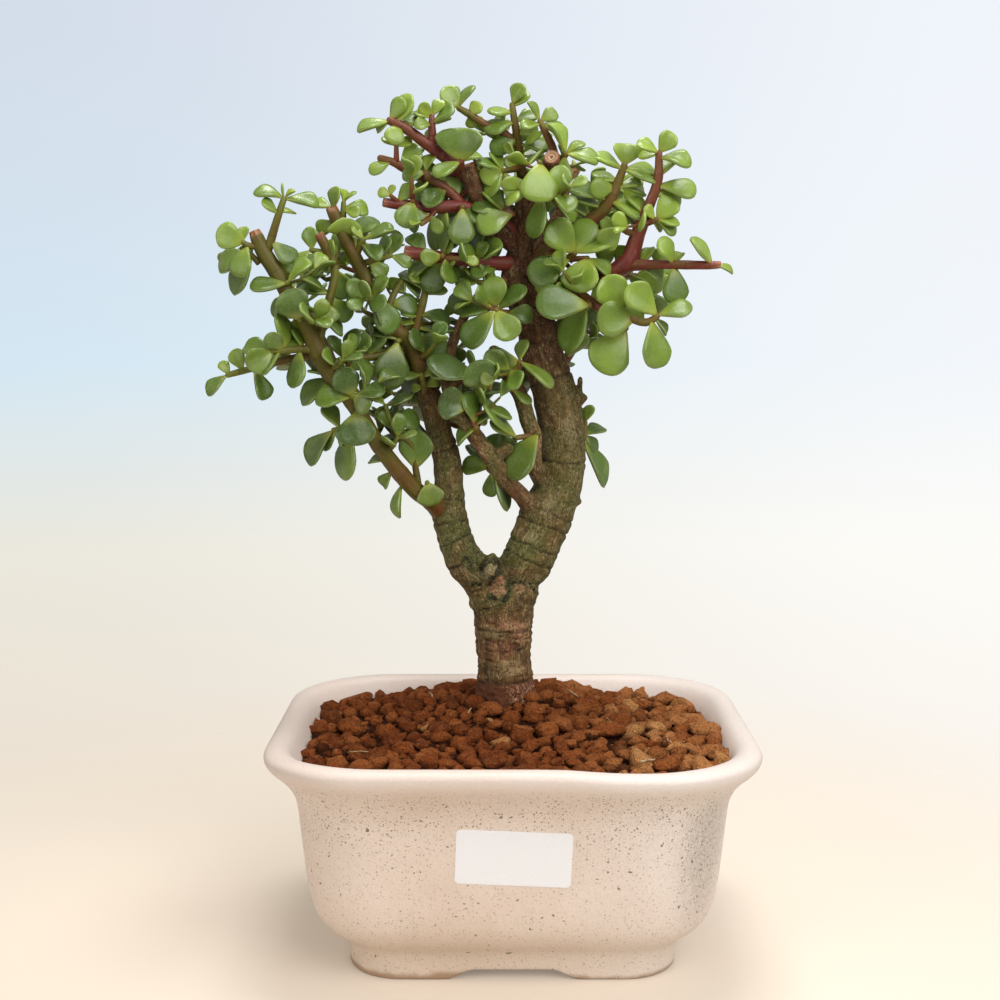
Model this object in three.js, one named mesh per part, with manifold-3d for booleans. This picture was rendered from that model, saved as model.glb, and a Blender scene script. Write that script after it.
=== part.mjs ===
// A dwarf jade bonsai in a glazed ceramic pot. Millimetres, +Z up.
// The tree is laid out in the pot's frame: X to the right, Y away from the front, Z up from the feet.
import * as THREE from 'three';
import { mergeVertices } from 'three/addons/utils/BufferGeometryUtils.js';
import Module from 'manifold-3d';

const wasm = await Module();
wasm.setup();

// Driving dimensions
const POT_HEIGHT = 84;
const POT_HALF_WIDTH = 89;
const WIDTH_LESS_DEPTH = 14;
const FLOOR_UNDER = 5;
const FLOOR_TOP = 8;
const DRAIN_RADIUS = 10;
const NOTCH_TOP_HALF = 15.5;
const NOTCH_BOTTOM_HALF = 22.5;
const NOTCH_HEIGHT = 3.8;
const MESH_SIDE = 38;
const MESH_THICK = 1;
const MESH_HOLE = 4;
const MESH_PITCH = 6.5;
// The pot's flat outer wall, and its inside from the floor up: [half width, height, corner radius]
const WALL_LOW = [75.2, 36, 31];
const WALL_HIGH = [77.8, 62, 32.9];
const INSIDE = [[57, FLOOR_TOP, 16], [61, 14, 19], [68, 30, 24], [72.5, 60, 28], [74, 70, 29], [77, 76, 31]];
const LABEL_WIDTH = 40;
const LABEL_HEIGHT = 20;
const LABEL_THICK = 0.4;
const LABEL_CENTRE = { x: 0.1, z: 51.3 };
const LABEL_TILT = THREE.MathUtils.degToRad(-2.5);
const SOIL_EDGE = 76;
const MOUND_HEIGHT = 11;
const MOUND_SPREAD = 45;
const SOIL_SHEET_HALF = 84;
const GRANULE_PITCH = 7.3;
const GRANULE_JITTER = 2.8;
const GRANULE_HEIGHT = 3.4;
const TRUNK_DEPTH = 24;
const GAP = 0.3;
const LEAF_ASPECT = 0.72;
const EDGE_ON_THICK = 1.2;
const LEAF_SIDES = 5;
const SMALLEST_DETAIL = 0.1;
const SMALLEST_LEAF = 8;
const WELD = 2e-3;

// The tree was measured from the front, as it shows on the upright plane through the trunk.
// A point [x, z, y] shows at x, z on that plane and lies at depth y on its line of sight.
const EYE = new THREE.Vector3(-4.6, -558, 234);

function sight(x, z, y) {
  const along = (y - EYE.y) / (TRUNK_DEPTH - EYE.y);
  return new THREE.Vector3(
    EYE.x + (x - EYE.x) * along,
    y,
    EYE.z + (z - EYE.z) * along,
  );
}

// A repeatable random number from 0 to 1
function makeRandom(seed) {
  let state = seed;
  return () => {
    state = (Math.imul(state, 1664525) + 1013904223) >>> 0;
    return state / 4294967296;
  };
}

// Solids from closed geometries, and back
function signedVolume(points, faces) {
  let sum = 0;
  const [a, b, c] = [new THREE.Vector3(), new THREE.Vector3(), new THREE.Vector3()];
  for (let i = 0; i < faces.length; i += 3) {
    a.fromArray(points, 3 * faces[i]);
    b.fromArray(points, 3 * faces[i + 1]);
    c.fromArray(points, 3 * faces[i + 2]);
    sum += a.dot(b.cross(c));
  }
  return sum / 6;
}

function solidOf(geometry, weld = 1e-4) {
  const bare = geometry.clone();
  bare.deleteAttribute('normal');
  bare.deleteAttribute('uv');
  const merged = mergeVertices(bare, weld);
  const vertProperties = new Float32Array(merged.attributes.position.array);
  const triVerts = new Uint32Array(merged.index.array);
  if (signedVolume(vertProperties, triVerts) < 0) {
    for (let i = 0; i < triVerts.length; i += 3) {
      [triVerts[i + 1], triVerts[i + 2]] = [triVerts[i + 2], triVerts[i + 1]];
    }
  }
  return new wasm.Manifold(new wasm.Mesh({ numProp: 3, vertProperties, triVerts }));
}

function largestPiece(solid) {
  const pieces = solid.decompose();
  pieces.sort((a, b) => b.volume() - a.volume());
  return pieces[0];
}

function positionsOf(solid) {
  const mesh = solid.getMesh();
  const geometry = new THREE.BufferGeometry();
  geometry.setAttribute('position', new THREE.BufferAttribute(new Float32Array(mesh.vertProperties), 3));
  geometry.setIndex(new THREE.BufferAttribute(new Uint32Array(mesh.triVerts), 1));
  return geometry;
}

function geometryOf(solid) {
  const geometry = positionsOf(solid);
  geometry.computeVertexNormals();
  return geometry;
}

// Whether every edge of a welded mesh still joins just two faces
function isSound(solid) {
  const { index, attributes } = mergeVertices(positionsOf(solid), WELD);
  const uses = new Map();
  for (let i = 0; i < index.count; i += 3) {
    const corners = [index.getX(i), index.getX(i + 1), index.getX(i + 2)];
    if (new Set(corners).size < 3) continue;
    corners.forEach((corner, side) => {
      const next = corners[(side + 1) % 3];
      const key = Math.min(corner, next) * attributes.position.count + Math.max(corner, next);
      uses.set(key, (uses.get(key) || 0) + 1);
    });
  }
  return [...uses.values()].every((count) => count === 2);
}

// One body with its smallest details taken out, more of them where the first result isn't sound
function settled(solid) {
  let piece = solid;
  for (let round = 1; round < 8; round += 1) {
    const simple = largestPiece(solid.simplify(round * SMALLEST_DETAIL));
    piece = largestPiece(solidOf(geometryOf(simple), WELD));
    if (isSound(piece)) return piece;
  }
  return piece;
}

// A profile turned round a rounded rectangle instead of a circle.
// Each point is [half width, height, corner radius], and a point of half width 0 lies on the axis.
const CORNER_STEPS = 4;

function roundedTurn(profile) {
  const columns = 4 * (CORNER_STEPS + 1);
  const outline = profile.map(([half, z]) => new THREE.Vector2(half, z));
  const geometry = new THREE.LatheGeometry(outline, columns);
  const position = geometry.attributes.position;
  for (let column = 0; column <= columns; column += 1) {
    const turn = column % columns;
    const quarter = Math.floor(turn / (CORNER_STEPS + 1));
    const angle = (Math.PI / 2) * (quarter + (turn % (CORNER_STEPS + 1)) / CORNER_STEPS);
    const signX = quarter === 0 || quarter === 3 ? 1 : -1;
    const signY = quarter < 2 ? 1 : -1;
    profile.forEach(([half, z, corner], row) => {
      let x = 0;
      let y = 0;
      if (half > 0) {
        x = signX * (half - corner) + corner * Math.cos(angle);
        y = signY * (half - WIDTH_LESS_DEPTH - corner) + corner * Math.sin(angle);
      }
      position.setXYZ(column * profile.length + row, x, y, z);
    });
  }
  return geometry;
}

// Pot: glazed walls that flare out to a round lip, a recessed floor with one drain hole, and four corner feet
function potSolid() {
  const profile = [
    [0, FLOOR_UNDER, 0],
    [48, FLOOR_UNDER, 13],
    [52, 0, 14],
    [60, 0, 20],
    [60.5, 10, 20],
    [62, 11.8, 21],
    [66, 14.5, 24],
    [69.5, 18, 26],
    [73, 25, 29],
    WALL_LOW,
    WALL_HIGH,
    [79.1, 65.5, 33.6],
    [81, 69.5, 34.8],
    [83.7, 73, 36.3],
    [87, 76.4, 38],
    [POT_HALF_WIDTH, 80, 39],
    [88, 82.9, 38.5],
    [84.5, POT_HEIGHT, 37],
    [81, 83.2, 35],
    [79, 80, 33],
    ...INSIDE.slice().reverse(),
    [0, FLOOR_TOP, 0],
  ];
  const notch = new THREE.Shape([
    new THREE.Vector2(-NOTCH_BOTTOM_HALF, -1),
    new THREE.Vector2(NOTCH_BOTTOM_HALF, -1),
    new THREE.Vector2(NOTCH_TOP_HALF, NOTCH_HEIGHT),
    new THREE.Vector2(-NOTCH_TOP_HALF, NOTCH_HEIGHT),
  ]);
  const across = new THREE.ExtrudeGeometry(notch, { depth: 2 * POT_HALF_WIDTH, bevelEnabled: false });
  across.translate(0, 0, -POT_HALF_WIDTH);
  across.rotateX(Math.PI / 2);
  const along = across.clone();
  along.rotateZ(Math.PI / 2);
  const drain = new THREE.CylinderGeometry(DRAIN_RADIUS, DRAIN_RADIUS, 20, 20);
  drain.rotateX(Math.PI / 2);
  return solidOf(roundedTurn(profile))
    .subtract(solidOf(across))
    .subtract(solidOf(along))
    .subtract(solidOf(drain));
}

// Drain mesh: a square plastic screen over the drain hole, under the soil
function drainMeshSolid() {
  const plate = new THREE.BoxGeometry(MESH_SIDE, MESH_SIDE, MESH_THICK);
  let solid = solidOf(plate);
  for (let column = -1; column <= 1; column += 1) {
    for (let row = -1; row <= 1; row += 1) {
      const hole = new THREE.BoxGeometry(MESH_HOLE, MESH_HOLE, 4 * MESH_THICK);
      hole.translate(column * MESH_PITCH, row * MESH_PITCH, 0);
      solid = solid.subtract(solidOf(hole));
    }
  }
  return solid.translate([0, 0, FLOOR_TOP + GAP + MESH_THICK / 2]);
}

// Label: a blank sticker on the flat part of the front wall
function labelGeometry() {
  const corner = 1.5;
  const [w, h] = [LABEL_WIDTH / 2, LABEL_HEIGHT / 2];
  const outline = new THREE.Shape();
  outline.absarc(w - corner, h - corner, corner, 0, Math.PI / 2);
  outline.absarc(corner - w, h - corner, corner, Math.PI / 2, Math.PI);
  outline.absarc(corner - w, corner - h, corner, Math.PI, 1.5 * Math.PI);
  outline.absarc(w - corner, corner - h, corner, 1.5 * Math.PI, 2 * Math.PI);
  const geometry = new THREE.ExtrudeGeometry(outline, { depth: LABEL_THICK, bevelEnabled: false, curveSegments: 2 });
  const wallSlope = Math.atan2(WALL_HIGH[0] - WALL_LOW[0], WALL_HIGH[1] - WALL_LOW[1]);
  const wallHalf = WALL_LOW[0] + (LABEL_CENTRE.z - WALL_LOW[1]) * Math.tan(wallSlope) - WIDTH_LESS_DEPTH;
  geometry.rotateZ(LABEL_TILT);
  geometry.rotateX(Math.PI / 2 + wallSlope);
  geometry.translate(LABEL_CENTRE.x, -wallHalf - GAP, LABEL_CENTRE.z);
  return geometry;
}

// Soil: a filling that mounds up to the trunk, its top a relief of granules larger than life
function soilHeight(x, y) {
  const fromTrunk = Math.hypot(x + 2.5, y - TRUNK_DEPTH);
  return SOIL_EDGE - 1 + MOUND_HEIGHT * Math.exp(-((fromTrunk / MOUND_SPREAD) ** 2));
}

// The granules' bumps: a sheet of uneven peaks, thick enough to cut the filling's top with
function granuleSheet() {
  const across = 2 * SOIL_SHEET_HALF;
  const cells = Math.round(across / GRANULE_PITCH);
  const geometry = new THREE.BoxGeometry(across, across, SOIL_EDGE, cells, cells, 1);
  const random = makeRandom(20);
  const position = geometry.attributes.position;
  for (let i = 0; i < position.count; i += 1) {
    const inner = Math.max(Math.abs(position.getX(i)), Math.abs(position.getY(i))) < SOIL_SHEET_HALF - 1;
    if (position.getZ(i) > 0 && inner) {
      const x = position.getX(i) + GRANULE_JITTER * (random() - 0.5);
      const y = position.getY(i) + GRANULE_JITTER * (random() - 0.5);
      position.setXYZ(i, x, y, soilHeight(x, y) + GRANULE_HEIGHT * (random() - 0.5) - SOIL_EDGE / 2);
    }
  }
  geometry.translate(0, 0, SOIL_EDGE / 2);
  return solidOf(geometry);
}

function soilSolid(woodCutter, meshCutter) {
  const inside = INSIDE.map(([half, z, corner]) => [half - 1.5 * GAP, Math.max(z, FLOOR_TOP + GAP), corner]);
  const [topHalf, , topCorner] = inside[inside.length - 1];
  const above = SOIL_EDGE + 2 * MOUND_HEIGHT;
  const profile = [[0, FLOOR_TOP + GAP, 0], ...inside, [topHalf, above, topCorner], [0, above, 0]];
  const filling = solidOf(roundedTurn(profile)).intersect(granuleSheet());
  return filling.subtract(woodCutter).subtract(meshCutter);
}

// A tapering stem through points, each a position and a radius, with round ends left flat
function stemSolid(points, radii, sides, grow) {
  const rings = points.length;
  const outline = [new THREE.Vector2(0, 0)];
  for (let ring = 0; ring < rings; ring += 1) outline.push(new THREE.Vector2(1, ring));
  outline.push(new THREE.Vector2(0, rings - 1));
  const geometry = new THREE.LatheGeometry(outline, sides);
  const position = geometry.attributes.position;
  const axisAt = (ring) => {
    const before = points[Math.max(0, ring - 1)];
    const after = points[Math.min(rings - 1, ring + 1)];
    return after.clone().sub(before).normalize();
  };
  let across = new THREE.Vector3(0.3, -1, 0.2);
  const frames = points.map((point, ring) => {
    const axis = axisAt(ring);
    across = across.clone().addScaledVector(axis, -across.dot(axis)).normalize();
    return { axis, across: across.clone(), up: axis.clone().cross(across) };
  });
  const spot = new THREE.Vector3();
  for (let side = 0; side <= sides; side += 1) {
    const angle = (2 * Math.PI * (side % sides)) / sides;
    for (let row = 0; row < outline.length; row += 1) {
      const ring = Math.min(Math.max(row - 1, 0), rings - 1);
      const pole = row === 0 || row === outline.length - 1;
      const radius = pole ? 0 : radii[ring] + grow;
      spot.copy(points[ring]);
      spot.addScaledVector(frames[ring].across, radius * Math.cos(angle));
      spot.addScaledVector(frames[ring].up, radius * Math.sin(angle));
      if (ring === 0) spot.addScaledVector(frames[ring].axis, -grow);
      if (ring === rings - 1) spot.addScaledVector(frames[ring].axis, grow);
      position.setXYZ(side * outline.length + row, spot.x, spot.y, spot.z);
    }
  }
  return solidOf(geometry);
}

function sidesFor(radius) {
  if (radius > 9) return 10;
  if (radius > 5) return 8;
  if (radius > 2.4) return 6;
  return radius > 1.5 ? 4 : 3;
}

function stemFromTable(rows, grow) {
  const points = rows.map(([x, z, y]) => sight(x, z, y));
  const radii = rows.map((row) => row[3]);
  return stemSolid(points, radii, sidesFor(Math.max(...radii)), grow);
}

// A thick jade leaf: a lens with an egg-shaped outline, its narrow end sunk into the stem at root.
// It is widest past its middle, its tip is lifted a little, and its two faces swell at their centres.
function leafSolid({ root, tip, width, face }, grow) {
  const axis = tip.clone().sub(root);
  const length = axis.length();
  axis.normalize();
  const across = axis.clone().cross(face).normalize();
  const out = across.clone().cross(axis);
  const thick = THREE.MathUtils.clamp(0.085 * length, 0.45, 1.15) + grow;
  const geometry = new THREE.SphereGeometry(1, LEAF_SIDES, 2);
  const position = geometry.attributes.position;
  const spot = new THREE.Vector3();
  for (let i = 0; i < position.count; i += 1) {
    spot.fromBufferAttribute(position, i);
    const pole = Math.abs(spot.y) > 0.5;
    const along = pole ? 0.45 : (0.5 + 0.5 * spot.x) ** 0.8;
    const shape = Math.min(1.3, 0.45 + 1.45 * along);
    const half = pole ? 0 : spot.z * shape * (0.5 * width + grow);
    const lift = pole ? Math.sign(spot.y) * thick : 0.06 * length * along * along;
    const reach = (pole ? along : 1.05 * along) * (length + grow);
    spot.copy(root).addScaledVector(axis, reach).addScaledVector(across, half).addScaledVector(out, lift);
    position.setXYZ(i, spot.x, spot.y, spot.z);
  }
  return solidOf(geometry);
}

// Wood: rows of [x, z, y, radius] from the thick end, all as seen from the front
const WOOD = {
  trunk: [
    [-2.5, 62, 24, 9], [-2.5, 82, 24, 11.6], [-2.5, 90, 24, 11.2], [-2.9, 100, 24, 10.7], [-3.4, 110, 24, 11],
    [-3.2, 120, 24, 11.8], [-4, 127, 24, 13.6], [-5, 134, 24, 13.4], [-6, 139, 24, 9],
  ],
  leftLimb: [
    [-7, 127, 24, 9.5], [-12, 134, 23.5, 8.3], [-18, 140, 23, 7.4], [-22.3, 150, 22.5, 6.8],
    [-24.5, 160, 22, 6.7], [-24.5, 170, 21.5, 5.8], [-25.2, 180, 21, 5.5], [-28, 190, 20, 5],
    [-30, 200, 19, 5.2], [-33, 207, 18, 4.4],
  ],
  rightLimb: [
    [0, 127, 24, 10], [2, 135, 24, 9.2], [5.8, 140, 24.5, 10], [10, 150, 25, 10], [14, 160, 25.5, 10.3],
    [18.3, 170, 26, 9], [19.8, 180, 26, 8.9], [19.8, 190, 26, 8.6], [18, 200, 26, 9], [15.5, 210, 26, 8.5],
    [12, 220, 26, 8.3], [10, 230, 26, 8], [5, 242, 26, 7], [2, 252, 26, 6.3], [3.5, 262, 26, 5],
    [3.3, 270, 26, 3.8], [3.5, 280, 25, 2.4], [4, 292, 24, 1.9],
  ],
  mossStub: [[-6, 134, 14, 4], [-7.5, 140, 13, 3.2], [-7.5, 142.5, 13, 1.6]],
  sideKnot: [[20, 202, 26, 4.5], [25, 203.5, 24, 3.4], [28, 204.5, 23, 1.6]],
  sideStub: [[26, 203, 24, 1.6], [26.3, 208, 23.5, 1.2], [26.5, 212, 23, 1]],
  lowNub: [[20, 163, 26, 3], [26.4, 164, 25, 1.4]],
  middleBough: [
    [14, 172, 22, 3.4], [9, 178, 18, 3.3], [8, 190, 16, 3.2], [6, 197, 15, 3.2], [3, 206, 15, 3.1],
    [-2, 214, 16, 3], [-7, 223, 18, 2.5],
  ],
  crossBough: [
    [10, 160, 20, 3.8], [5, 165, 17, 3.5], [-2, 172, 13, 3.3], [-7, 180, 11, 3.3], [-13, 188, 10, 3.3],
    [-19, 197, 9, 3.2], [-24, 207, 10, 3], [-25, 215, 13, 2.4], [-22, 228, 16, 2], [-17, 238, 18, 1.8],
    [-12, 246, 20, 1.4],
  ],
  crossStub: [[-6, 182, 11, 2.4], [-1, 185, 10, 2.4]],
  cutStub: [[1, 262, 24, 3.2], [-7, 273, 20, 3.2], [-13, 281, 16, 3.3], [-17, 293, 13, 3.3]],
  facingStub: [[5, 268, 24, 3.2], [12, 283, 18, 3.1], [15, 293.5, 10, 3.2], [15, 296, 7, 3.2]],
  backBranch: [[6, 256, 30, 3], [13, 266, 33, 2.6], [18, 275, 34, 2.3], [20, 284, 35, 2.3], [25, 293, 36, 2.2]],
};

// Leafy stems. Rows of stems are [x, z, y, radius] as seen from the front, the first stem rooted in the wood.
// Rows of leaves are [base x, base z, tip x, tip z, seen width, how much deeper the tip lies].
const LEAFY_STEMS = {
  left_bough: {
    stems: [
      [[-27, 160, 20, 4.4], [-31, 164, 16, 3.8], [-37, 168, 13, 3.4], [-45, 177, 9, 3.2], [-53, 188, 5, 3],
        [-62, 203, 1, 3], [-70, 213, -2, 3.1], [-75, 222, -4, 3.3], [-79, 232, -5, 3], [-84, 240, -6, 2.9],
        [-90, 252, -6, 2.9], [-95, 260, -6, 2.9], [-98.5, 268, -6, 2.2]],
      [[-93.5, 261, -6, 1.6], [-90, 272, -7, 1.4], [-87, 280.5, -7, 1.1]],
      [[-97, 262, -6, 1.2], [-101.5, 263, -8, 1.1], [-104, 265, -8, 0.9]],
      [[-97, 256, -6, 1.2], [-101, 260.5, -5, 1]],
      [[-87, 247, -6, 1.2], [-86.3, 248.7, -10, 1]],
      [[-81, 235, -6, 1.2], [-81.6, 234.4, -9.5, 1]],
      [[-75, 223, -4, 1.9], [-80, 223.3, -6, 1.5], [-86, 223, -8, 1.4], [-92.5, 222.5, -9, 1.2]],
      [[-76, 221, -2, 1.8], [-82, 220, 0, 1.6], [-88, 219, -1, 1.5], [-96, 217, -2, 1.4], [-110, 213.3, -4, 1.1]],
      [[-75, 224.5, -3, 1.9], [-72.5, 235, 0, 1.7], [-70, 243, 1, 1.6], [-68, 252, 2, 1.5], [-68.5, 258, 2, 1.4]],
      [[-68, 255, 2, 1.8], [-70, 260, 2, 2], [-74, 267, 1, 2]],
      [[-71, 260, 2, 1.2], [-77, 261, 1, 1]],
      [[-63, 204, 1, 1.4], [-61.5, 205.3, -3.5, 1.1]],
      [[-57, 195, 3, 1.3], [-60.5, 199, -2, 1]],
      [[-58, 195, 4, 1.3], [-62, 193.5, 7, 1.1], [-69.5, 192, 7, 0.9]],
      [[-48, 180, 7, 1.2], [-47, 176.5, 10, 1], [-43, 170.5, 13, 0.9]],
      [[-36, 168, 13, 1.4], [-37.5, 177, 13, 1.3], [-39, 186, 11, 1.2], [-46, 192, 8, 1.1], [-49, 201.5, 7, 1]],
      [[-33, 167, 14, 1.2], [-33, 171.5, 9, 1]],
    ],
    leaves: [
      [-87.5, 280.5, -98.3, 283.5, 5.5, -2], [-86, 280, -74, 277, 4.5, 2], [-89, 274.5, -96.5, 279, 4, -3],
      [-87.5, 274.8, -82.5, 275.6, 3, 4], [-87, 281, -87, 286.5, 1.6, 1], [-86.8, 281, -82.5, 283.5, 1.6, 0],
      [-102.5, 264, -112.8, 268.3, 10, -2], [-103, 264.5, -102, 269.5, 4, 3], [-101, 262.5, -104.6, 250.5, 8, -4],
      [-101.5, 260.5, -113.5, 254.5, 8, 3], [-100, 259, -106, 244.5, 7.5, 4],
      [-86.5, 248.6, -101, 246.5, 6.6, -2], [-86, 249, -76, 255, 4.6, -1],
      [-81.5, 234.4, -86.5, 245.8, 12, -1], [-84, 238, -92, 239.5, 8, 6], [-88, 227, -91, 236.5, 6, 5],
      [-92, 222.5, -103, 217, 9.5, -3], [-92, 223, -103.5, 223, 7, 4], [-88.5, 223.5, -94.5, 229.5, 7, -4],
      [-80.5, 224, -88.5, 226.5, 5, 4], [-81, 224, -84.5, 231, 4, 3], [-82, 222.8, -83.2, 207.5, 8, -2],
      [-89.5, 222.5, -95.5, 212.5, 3.6, -3], [-81, 220.5, -75.2, 215, 4, 5],
      [-109.5, 213.6, -112.5, 218.3, 4.6, 1], [-110, 213, -117.5, 205.3, 5.5, -2], [-104, 215.3, -106.5, 223, 6.5, 2],
      [-99.5, 215.5, -97.8, 203, 6.6, -1],
      [-61.5, 206, -66.5, 215.5, 10, -3], [-61, 205.5, -49, 207.3, 6, -3], [-61.5, 205, -55, 199.3, 7.5, -4],
      [-62, 204.8, -76, 202.5, 7.6, -2], [-70, 212, -79.5, 202, 6, 6], [-71, 213, -78, 216, 5, 6],
      [-60.5, 199.5, -60, 185.5, 14.6, -3], [-61.5, 190, -64.3, 172.5, 8.6, 2], [-69.5, 191, -80, 179, 6.6, 2],
      [-68.5, 193, -73, 184.5, 6, 4], [-67, 194, -71.5, 202.5, 6, 5], [-66, 192, -66.5, 186, 2.6, 3],
      [-50, 180, -55.5, 179, 3.6, 4], [-46.5, 176, -50.5, 169.5, 5, 3], [-42.5, 170, -45.5, 157.5, 4.6, -2],
      [-37.5, 176.8, -38, 191.6, 12.5, -3], [-46.2, 192, -52.3, 198.3, 4.8, -3], [-49, 201.5, -38.5, 204.3, 3.8, -2],
      [-49, 201.5, -54, 203.5, 3, 2], [-45, 196, -35.5, 197, 8, 6], [-41, 188, -51, 188.5, 4, 6],
      [-33, 171.8, -30.2, 162.8, 10.8, -1],
      [-69.5, 240, -71.8, 234, 10, -5], [-71, 245, -82.5, 245.4, 4.6, 3], [-70, 243, -62.5, 235, 8, 6],
      [-69, 257.6, -75.7, 250.3, 5.4, -3], [-69, 257, -68.8, 265, 4, -2], [-68, 254, -63.5, 243.5, 9, 4],
      [-69, 255, -79, 258, 6, 7], [-76.5, 261, -77.5, 269.7, 5.6, -1], [-77, 260.8, -82.5, 256.6, 3.6, -1],
      [-92, 264.5, -82.5, 257, 6.8, -1], [-92, 256, -82, 254, 7.5, 6], [-72.5, 235, -65, 229, 5, 6],
    ],
  },
  upper_left_stem: {
    stems: [
      [[-33, 205, 18, 3.4], [-36, 216, 14, 2.9], [-40, 226, 12, 2.8], [-45, 231, 10, 2.8], [-51, 238, 8, 2.6],
        [-53.5, 243, 7, 2.5], [-57, 252, 6, 2.5], [-62, 262, 5, 2.5], [-66, 270, 4, 2.5], [-69, 277, 3, 2.3]],
      [[-42, 227, 12, 1.4], [-44, 226.3, 7, 1.1]],
      [[-34, 206, 16, 1.3], [-34, 209.5, 10, 1.2], [-35, 213.5, 9, 1]],
      [[-38, 222, 14, 2.2], [-37.2, 231, 15, 1.9], [-33.8, 243, 15, 1.5], [-33, 249, 15, 1.2]],
      [[-40, 225, 13, 1.8], [-50, 221, 11, 1.6], [-57, 220, 9, 1.5], [-68, 218.5, 6, 1.3]],
      [[-53, 242.5, 8, 1.3], [-54, 243.2, 2, 1.1]],
      [[-60, 258, 6, 1.4], [-58, 263, 3, 1.2], [-56.8, 265.2, 1, 1]],
      [[-57, 256, 6, 1.3], [-50, 258, 7, 1.1], [-46.5, 259, 7, 1]],
      [[-65, 269, 5, 1.4], [-64.5, 275, 3, 1.2], [-64.3, 279, 3, 0.9]],
      [[-48, 235, 9, 1.5], [-46, 243, 13, 1.3], [-42, 250, 15, 1.1]],
    ],
    leaves: [
      [-43.8, 225.8, -48, 208.3, 12.8, -1], [-43, 226.5, -54, 229.5, 4.5, 4],
      [-34.5, 213.5, -43, 212.3, 4.6, -2], [-34, 212.5, -28, 215.5, 4, 3], [-33.8, 209, -28.2, 210.8, 3.6, 1],
      [-34, 208.6, -39, 208, 3.4, 1], [-35.5, 213, -39, 203, 6, 8],
      [-36.7, 236, -43, 237.3, 3.4, -3], [-36.5, 233.5, -44, 232, 4, -2], [-34.5, 236, -23.5, 233.8, 5, -2],
      [-35, 231, -21.5, 230, 4, 4], [-33.6, 244, -25, 246, 3.8, 2], [-33.5, 245.5, -43, 253, 5, 3],
      [-33, 248, -39.5, 251.5, 4.2, -3], [-37, 226, -24.5, 223, 12, -3], [-37, 222, -27, 230, 8, 3],
      [-64, 218.8, -71.5, 228, 5.6, -2], [-60, 219.8, -55, 229, 5.5, -3], [-63, 219.3, -59.5, 230.5, 5.6, 3],
      [-56, 220, -48.5, 230.5, 6, 2], [-58, 219.5, -54.5, 212.8, 7, 3], [-52, 221, -56.5, 232, 5, 5],
      [-48, 222, -52, 210, 6, 7], [-46, 223, -41, 213, 5, 6],
      [-54, 243, -47.3, 250.6, 6.6, -2], [-54.3, 243.3, -63.6, 239.8, 6.2, -2], [-53.5, 242.5, -46, 230.3, 10.6, -4],
      [-54, 242.5, -52.5, 231, 4, 3], [-47, 241, -36, 239.8, 8.6, 3], [-57, 249, -66, 245.5, 6, 6],
      [-56.5, 265.2, -44.5, 268.2, 4.7, -2], [-57, 265.2, -61.2, 270, 3.6, 0], [-57.6, 263.5, -50.5, 258, 5.2, -4],
      [-58.3, 262, -63, 264.5, 4, 2], [-52, 258, -46.5, 266.5, 4, 0], [-54, 256.5, -49.5, 250.5, 7, 2],
      [-47, 258.8, -42.3, 266.8, 5.2, 0], [-46.5, 258.5, -39, 255, 4.5, 3],
      [-63.5, 267, -64.8, 273.3, 11.6, -4], [-65, 276.5, -57.8, 274, 4.8, -2], [-64.4, 277, -54.3, 276, 5.6, 3],
      [-63, 266.5, -51, 273, 6.8, 4], [-68.5, 276, -66.8, 284.7, 5, -3], [-68.5, 278, -76, 279.6, 5.2, 3],
      [-64.5, 278, -65.8, 284, 3.2, 2], [-64.3, 279, -59.4, 283.3, 1.8, 0], [-67, 271.5, -74.7, 269.3, 6.2, 3],
      [-42, 250, -47, 247, 4.6, 3], [-42.3, 249.5, -36.5, 243, 5, 5],
    ],
  },
  lower_inner_stem: {
    stems: [
      [[-13, 189, 10, 1.6], [-13.8, 193, 4, 1.2]],
      [[-13.6, 192, 5, 1.1], [-17, 201, 3, 1]],
    ],
    leaves: [
      [-14, 193.5, -17.3, 207, 6.4, 0], [-13, 194, -5.5, 197.8, 3.4, 1], [-17, 202.5, -28.6, 203.3, 12, -1],
      [-14, 192.5, -20, 186, 4, 5],
    ],
  },
  inner_left_stem: {
    stems: [
      [[-24, 209, 10, 2], [-18, 212, 6, 1.4], [-11, 213, 3, 1.2], [-8.5, 208, 3, 1]],
    ],
    leaves: [
      [-9.3, 206, -15, 218.3, 13.4, -2], [-13, 214, -32.5, 217.8, 11, -3], [-18, 212, -31, 213.3, 4.5, -2],
      [-10, 209, -13.5, 203, 5, 4],
    ],
  },
  middle_stem: {
    stems: [
      [[1, 209, 15, 1.8], [3, 218.5, 9, 1.2]],
      [[2, 213, 12, 1.2], [0, 207.5, 10, 1]],
    ],
    leaves: [
      [2.6, 218.5, -11.5, 217.3, 12.2, -2], [3.3, 219, 14.6, 206.8, 5, -5], [-0.5, 207, -13.5, 206.3, 5, 4],
      [3, 218.5, 4.5, 227, 5, 4], [0.5, 207.5, 8, 203, 4, -2],
    ],
  },
  low_middle_stem: {
    stems: [[[8, 188, 16, 1.8], [10.4, 191, 9, 1.2]], [[9, 190, 12, 1.1], [2, 189, 9, 1]]],
    leaves: [
      [10.4, 190.8, -1.6, 173, 9.8, -2], [1.8, 189.3, -12.4, 203.8, 5, -3], [1.5, 188.5, -8.6, 194.8, 5, 4],
    ],
  },
  low_back_stem: {
    stems: [[[-5, 177, 12, 1.8], [-8, 176, 20, 1.3], [-10, 178, 26, 1]]],
    leaves: [
      [-9, 177, -19, 178, 8, 3], [-7.5, 175.8, -8.2, 165.5, 5.4, 1], [-6, 176.3, -4.2, 160.5, 4.6, 3],
      [-10, 178, -4, 190, 6, 4], [-10, 178, -17.5, 186, 6, 5],
    ],
  },
  trunk_rosette: {
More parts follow.
